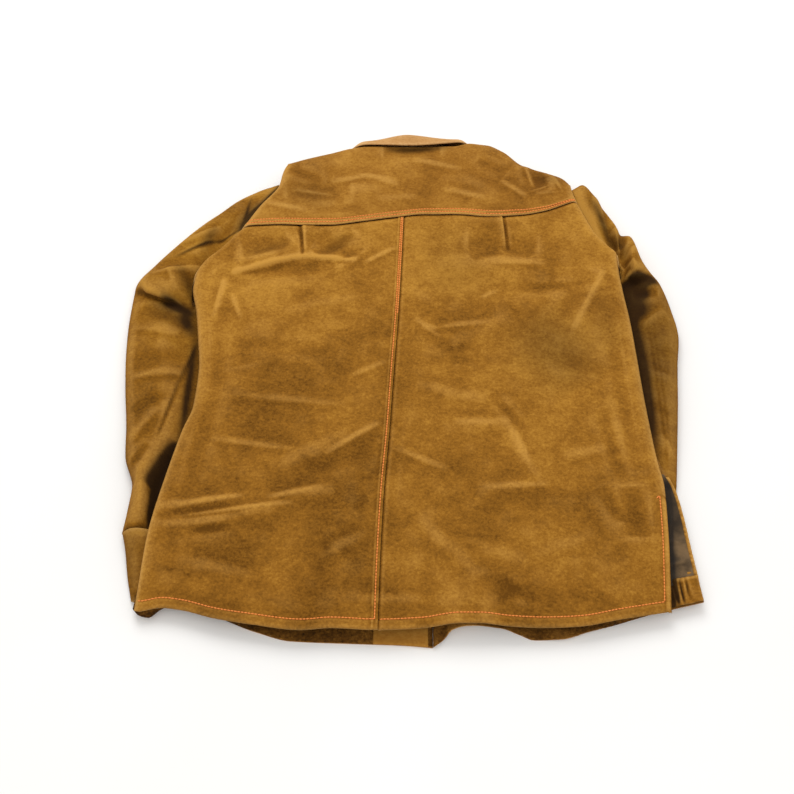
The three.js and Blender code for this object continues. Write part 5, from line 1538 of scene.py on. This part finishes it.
@dataclass
class Back:
    """The two back panels and the yoke, with their seams."""

    left: BackHalf = field(default_factory=lambda: BackHalf(False))
    right: BackHalf = field(default_factory=lambda: BackHalf(True))

    def build(self) -> list[bpy.types.Object]:
        """Build the panels and their stitching."""
        vs = warped(((0, 0.03, 16), (0.03, 0.92, 236), (0.92, 1, 34)))
        left_us = warped(((0, 0.06, 16), (0.06, 0.4, 42), (0.4, 0.5, 34), (0.5, 0.95, 52), (0.95, 1, 22)))
        right_us = warped(
            ((0, 0.06, 20), (0.06, 0.38, 40), (0.38, 0.48, 34), (0.48, 0.95, 56), (0.95, 1, 22))
        )
        pieces = [
            Cloth(
                "jacket_back_left", self.left.surface, left_us, vs, PLAIN, "suede", ("back_left",),
                (0.28, 0.59), thick_hem=HEM_EXTRA, rests_on=("front_left",), wear_and_highlight=self.wear_and_highlight_of_back,
                shades=BACK_SHADES,
            ).build(),
            Cloth(
                "jacket_back_right", self.right.surface, right_us, vs, PLAIN, "suede", ("back_right",),
                (0.32, 0.60), flip=True, thick_hem=HEM_EXTRA, rests_on=("front_right",), wear_and_highlight=self.wear_and_highlight_of_back,
                shades=BACK_SHADES,
            ).build(),
        ]
        yoke = (Finish.YOKE, Finish.FLESH, Finish.RAW_EDGE)
        yoke_us = warped(((0, 0.03, 10), (0.03, 0.97, 200), (0.97, 1, 10)))
        yoke_vs = warped(((0, 0.13, 20), (0.13, 0.8, 44), (0.8, 1, 26)))
        pieces.append(
            Cloth(
                "jacket_yoke", yoke_surface, yoke_us, yoke_vs, yoke, "suede", ("back_yoke",), (0.46, 0.15),
                rests_on=("back_left", "back_right"), wear_and_highlight=self.rub_yoke, shades=YOKE_SHADES,
            ).build()
        )
        return [*pieces, *self.stitch()]

    @staticmethod
    def wear_and_highlight_of_back(u: np.ndarray, v: np.ndarray, points: np.ndarray) -> np.ndarray:
        """Return how much lighter the back is: a painted highlight along the side folds and rub wear on the
        hem's edge.
        """
        closed = np.where((points[:, 0] > 0) & (v < VENT_TOP), 0.0, 1.0)
        return worn_and_lit(SIDE_PAINTED_HIGHLIGHT, u * PANEL_WIDTH) * closed + worn_and_lit(HEM_RUB, v * PANEL_LENGTH)

    @staticmethod
    def rub_yoke(u: np.ndarray, v: np.ndarray, points: np.ndarray) -> np.ndarray:
        """Return how rubbed the yoke is: on its lower roll and its ends."""
        ends = worn_and_lit(YOKE_END_RUB, u * YOKE_LENGTH) + worn_and_lit(YOKE_END_RUB, (1 - u) * YOKE_LENGTH)
        return worn_and_lit(YOKE_RUB, v * YOKE_DEPTH) + ends

    def stitch(self) -> list[bpy.types.Object]:
        """Build the rows of the hem, vent, centre seam and yoke."""
        hem_v = HEM_ROW / PANEL_LENGTH
        vent_u = VENT_ROW / PANEL_WIDTH
        seam_u = 1 - SEAM_ROW / PANEL_WIDTH
        hem_left = StitchRow(self.left.surface, line((ROW_START, hem_v), (1, hem_v)))
        hem_right = StitchRow(self.right.surface, line((vent_u, hem_v), (1, hem_v)))
        hook = line((vent_u + HOOK_WIDTH, VENT_TOP - HOOK_DROP), (vent_u, VENT_TOP), (vent_u, hem_v))
        vent = StitchRow(self.right.surface, hook)
        seam = StitchRow(self.left.surface, line((seam_u, hem_v), (seam_u, 1)))
        beside = seam_u + SECOND_ROW
        second = StitchRow(self.left.surface, line((beside, SECOND_ROW_FROM), (beside, 1)))
        yoke_vs = [row / YOKE_DEPTH for row in YOKE_ROWS]
        yoke = [StitchRow(yoke_surface, line((ROW_START, v), (YOKE_ROW_END, v))) for v in yoke_vs]
        return [
            Stitching("hem_stitches", [hem_left, hem_right, vent], 3).build(),
            Stitching("centre_stitches", [seam, second], 5).build(),
            Stitching("yoke_stitches", yoke, 7).build(),
        ]


@dataclass
class Sleeves:
    """Both sleeves with their cuffs."""

    @staticmethod
    def armhole(spots: Sequence[Spot], span: tuple[float, float], out: float) -> Route:
        """Return the armhole's edge within a span of y, shoulder end first, moved out along x."""
        low, high = span
        held = [spot for spot in spots if low <= spot.y <= high]
        return Route(held[::-1], shift=out)

    def build(self) -> list[bpy.types.Object]:
        """Build the sleeves and cuffs."""
        finishes = (Finish.SLEEVE, Finish.FLESH, Finish.RAW_EDGE)
        round_us = warped(((0, 0.14, 28), (0.14, 0.5, 52), (0.5, 0.86, 14), (0.86, 1, 12)))
        left_hole = self.armhole(LEFT_SIDE + LEFT_ARMHOLE[1:], LEFT_ARMHOLE_SPAN, -SLEEVE_GAP)
        right_hole = self.armhole(RIGHT_SIDE + RIGHT_ARMHOLE[1:], RIGHT_ARMHOLE_SPAN, SLEEVE_GAP)
        left = Tube(LEFT_SLEEVE, left_hole, LEFT_SLEEVE_FOLDS, LEFT_LIP_AT, LEFT_LIP)
        right = Tube(RIGHT_SLEEVE, right_hole, RIGHT_SLEEVE_FOLDS, RIGHT_LIP_AT, RIGHT_LIP)
        sleeves = (
            ("sleeve_left", left, True, LEFT_SLEEVE_SHADES),
            ("sleeve_right", right, False, RIGHT_SLEEVE_SHADES),
        )
        sheets = [
            Cloth(
                f"jacket_{name}", tube.surface, round_us, even(270), finishes, "suede", (name,),
                (0.30, 0.54), flip=mirrored, ring=True, shades=shades,
            )
            for name, tube, mirrored, shades in sleeves
        ]
        cuffs = (("cuff_left", LEFT_CUFF, True), ("cuff_right", RIGHT_CUFF, False))
        sheets += [
            Cloth(
                f"jacket_{name}", Tube(rows).surface, round_us, even(36), finishes, "suede", (name,),
                (0.26, 0.083), wall=CUFF_WALL, flip=mirrored, ring=True, wear_and_highlight=self.rub_cuff,
                shades=CUFF_SHADES,
            )
            for name, rows, mirrored in cuffs
        ]
        return [sheet.build() for sheet in sheets]

    @staticmethod
    def rub_cuff(u: np.ndarray, v: np.ndarray, points: np.ndarray) -> np.ndarray:
        """Return how rubbed a cuff is, at both of its ends."""
        return worn_and_lit(CUFF_SEAM_RUB, v * CUFF_DEPTH) + worn_and_lit(CUFF_END_RUB, (1 - v) * CUFF_DEPTH)


@dataclass
class Fronts:
    """The fronts under the back, what shows inside them, and their buttons."""

    left: FrontHalf = field(default_factory=lambda: FrontHalf(False))
    right: FrontHalf = field(default_factory=lambda: FrontHalf(True))

    def build(self) -> list[bpy.types.Object]:
        """Build the fronts, the facing, the lining and the gathered hem behind the vent."""
        us = even(80)
        vs = warped(((0, 0.06, 20), (0.06, 0.3, 50), (0.3, 1, 50)))
        left = Cloth(
            "jacket_front_left", self.left.surface, us, vs, PLAIN, "suede_inside", ("front_left",),
            (0.33, 0.73), flip=True,
        )
        right = Cloth(
            "jacket_front_right", self.right.surface, us, vs, PLAIN, "suede_inside", ("front_right",),
            (0.31, 0.73), flip=True,
        )
        flat_face = (Finish.FACING, Finish.FLESH, Finish.FACING)
        facing = Cloth(
            "jacket_front_facing", raised(self.left.surface, FACING_WALL), warped(((0.81, 0.985, 26),)), vs,
            flat_face, "facing", ("front_facing",), (0.06, 0.65), wall=FACING_WALL,
        )
        satin = (Finish.LINING, Finish.LINING, Finish.LINING)
        lining = Cloth(
            "jacket_lining", raised(self.right.surface, FACING_WALL, self.pucker),
            warped(((0.74, 0.986, 64),)), warped(((0.04, 0.25, 90),)), satin, "lining", ("lining",),
            (0.07, 0.145), wall=LINING_WALL, shades=LINING_SHADES,
        )
        vent_hem = Cloth(
            "jacket_vent_hem", raised(self.right.surface, THIN_SUEDE, self.gather),
            warped(((0.76, 0.997, 96),)), warped(((0.001, VENT_HEM_DEPTH, 34),)), PLAIN, "suede", (),
            (0.075, 0.045), wall=THIN_SUEDE, wear_and_highlight=self.rub_vent_hem, shades=VENT_HEM_SHADES,
        )
        rim = Cloth(
            "jacket_vent_rim", raised(self.right.surface, THIN_SUEDE / 2, self.ragged),
            warped(((0.963, 1, 14),)), warped(((VENT_HEM_DEPTH - 0.004, 0.245, 90),)), PLAIN, "suede", (),
            (0.0115, 0.13), wall=THIN_SUEDE, wear_and_highlight=self.rub_rim,
        )
        sheets = (left, right, facing, lining, vent_hem, rim)
        return [*(sheet.build() for sheet in sheets), *self.dress_buttons()]

    @staticmethod
    def gather(u: np.ndarray, v: np.ndarray) -> np.ndarray:
        """Return the gathers of the hem behind the vent: uneven pleats under a rolled upper edge."""
        across = u * PANEL_WIDTH
        up = v / VENT_HEM_DEPTH
        pleats = sum(row.depth * bump(across - row.at - row.lean * up, GATHER_WIDTH) for row in GATHERS)
        roll_up = bump((1 - up) * VENT_HEM_HEIGHT - GATHER_ROLL, GATHER_ROLL)
        wave = GATHER_WAVE * np.sin(across / GATHER_PITCH + GATHER_LEAN * up)
        return GATHER_LIFT + roll_up - pleats * smooth(up / GATHER_START) + wave

    @staticmethod
    def ragged(u: np.ndarray, v: np.ndarray) -> np.ndarray:
        """Return the uneven height of the suede rim along the flap's outer edge."""
        return 0.5 * np.sin(v * 410) * np.sin(v * 173 + 1) + 0.6

    @staticmethod
    def rub_vent_hem(u: np.ndarray, v: np.ndarray, points: np.ndarray) -> np.ndarray:
        """Return how rubbed the gathered hem is, on its upper roll and its outer edge."""
        down = (1 - v / VENT_HEM_DEPTH) * VENT_HEM_HEIGHT
        return worn_and_lit(VENT_HEM_RUB, down) + worn_and_lit(FLAP_RUB, (1 - u) * PANEL_WIDTH)

    @staticmethod
    def rub_rim(u: np.ndarray, v: np.ndarray, points: np.ndarray) -> np.ndarray:
        """Return how rubbed the rim is: a raw, ragged outer edge."""
        ragged_edge = 1.4 + 0.9 * np.sin(v * 520) * np.sin(v * 211)
        return 1.2 * bump((1 - u) * PANEL_WIDTH, ragged_edge + 1.2)

    @staticmethod
    def pucker(u: np.ndarray, v: np.ndarray) -> np.ndarray:
        """Return the lining's puckers and creases."""
        x = u * PANEL_WIDTH
        y = v * FRONT_LENGTH
        creases = fold_height(LINING_CREASES, x, y)
        return LINING_RIPPLE(x, y) + creases + 0.6

    def dress_buttons(self) -> list[bpy.types.Object]:
        """Give the buttons of the closed front their horn finish."""
        buttons = [bpy.data.objects[name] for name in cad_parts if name.startswith("button_")]
        for button in buttons:
            for slot in button.material_slots:
                slot.material = MATERIALS[Finish.BUTTON]
        return buttons


@dataclass
class Collar:
    """The turned collar: its stand round the neck and the fall that lies over on top."""

    def build(self) -> list[bpy.types.Object]:
        """Build the stand and the fall."""
        finishes = (Finish.COLLAR, Finish.FLESH, Finish.COLLAR)
        stand = Cloth(
            "jacket_collar_stand", collar_surface(COLLAR_STAND, 0.0), even(160), even(10), finishes, "collar",
            ("collar_stand",), (0.36, 0.04), held="folded",
        )
        fall = Cloth(
            "jacket_collar_fall", collar_surface(COLLAR_FALL, FALL_BULGE), even(200), even(26), finishes,
            "collar", ("collar_fall",), (0.42, 0.07), flip=True, held="folded",
        )
        return [stand.build(), fall.build()]


LAMPS = (Lamp("key", (-0.35, 1.5, 2.1), 1.6, 30.0), Lamp("fill", (0.6, -1.8, 2.2), 2.6, 14.0))
SKY_COLOUR = (1.0, 0.99, 0.975, 1.0)
SKY_STRENGTH = 0.75
FLOOR_REACH = 6.0


@dataclass(frozen=True)
class Studio:
    """A plain pale floor, soft light from beyond the collar and the camera at the photo's angle."""

    lens: float = 57.0
    sensor: float = 36.0
    pitch: float = 55.0
    distance: float = 1560.0

    def build(self) -> None:
        """Build the floor, lights, world and camera."""
        self.floor()
        for lamp in LAMPS:
            self.hang(lamp)
        world = bpy.data.worlds.new("studio")
        world.use_nodes = True
        sky = world.node_tree.nodes["Background"]
        sky.inputs["Color"].default_value = SKY_COLOUR
        sky.inputs["Strength"].default_value = SKY_STRENGTH
        bpy.context.scene.world = world
        bpy.context.scene.view_settings.view_transform = "Standard"
        self.camera()

    def floor(self) -> None:
        """Lay the floor on z = 0."""
        ground = bmesh.new()
        bmesh.ops.create_grid(ground, x_segments=8, y_segments=8, size=FLOOR_REACH)
        mesh = poured("floor", ground)
        mesh.materials.append(MATERIALS[Finish.FLOOR])
        linked("floor", mesh)

    @staticmethod
    def hang(lamp: Lamp) -> None:
        """Hang a soft light that faces the jacket."""
        data = bpy.data.lights.new(lamp.name, "AREA")
        data.energy = lamp.power
        data.size = lamp.size
        light = linked(lamp.name, data)
        light.location = lamp.place
        light.rotation_euler = (-Vector(lamp.place)).to_track_quat("-Z", "Y").to_euler()

    def camera(self) -> None:
        """Place the camera above the hem, looking down along the back."""
        data = bpy.data.cameras.new("camera")
        data.lens = self.lens
        data.sensor_width = self.sensor
        eye = linked("camera", data)
        tilt = math.radians(self.pitch)
        place = np.array((0.0, -self.distance * math.cos(tilt), self.distance * math.sin(tilt)))
        eye.location = (place - LAY_CENTRE) * MM
        eye.rotation_euler = (math.radians(90 - self.pitch), 0.0, 0.0)
        bpy.context.scene.camera = eye


def main() -> None:
    """Build the studio and every sub-assembly in order."""
    logging.basicConfig(level=logging.INFO, format="%(name)s: %(message)s")
    for finish in FINISHES:
        MATERIALS[finish.finish] = finish.build()
    Studio().build()
    for assembly in (Back(), Sleeves(), Fronts(), Collar()):
        for piece in assembly.build():
            log.info("%s: %d faces", piece.name, len(piece.data.polygons))


if __name__ == "__main__":
    main()
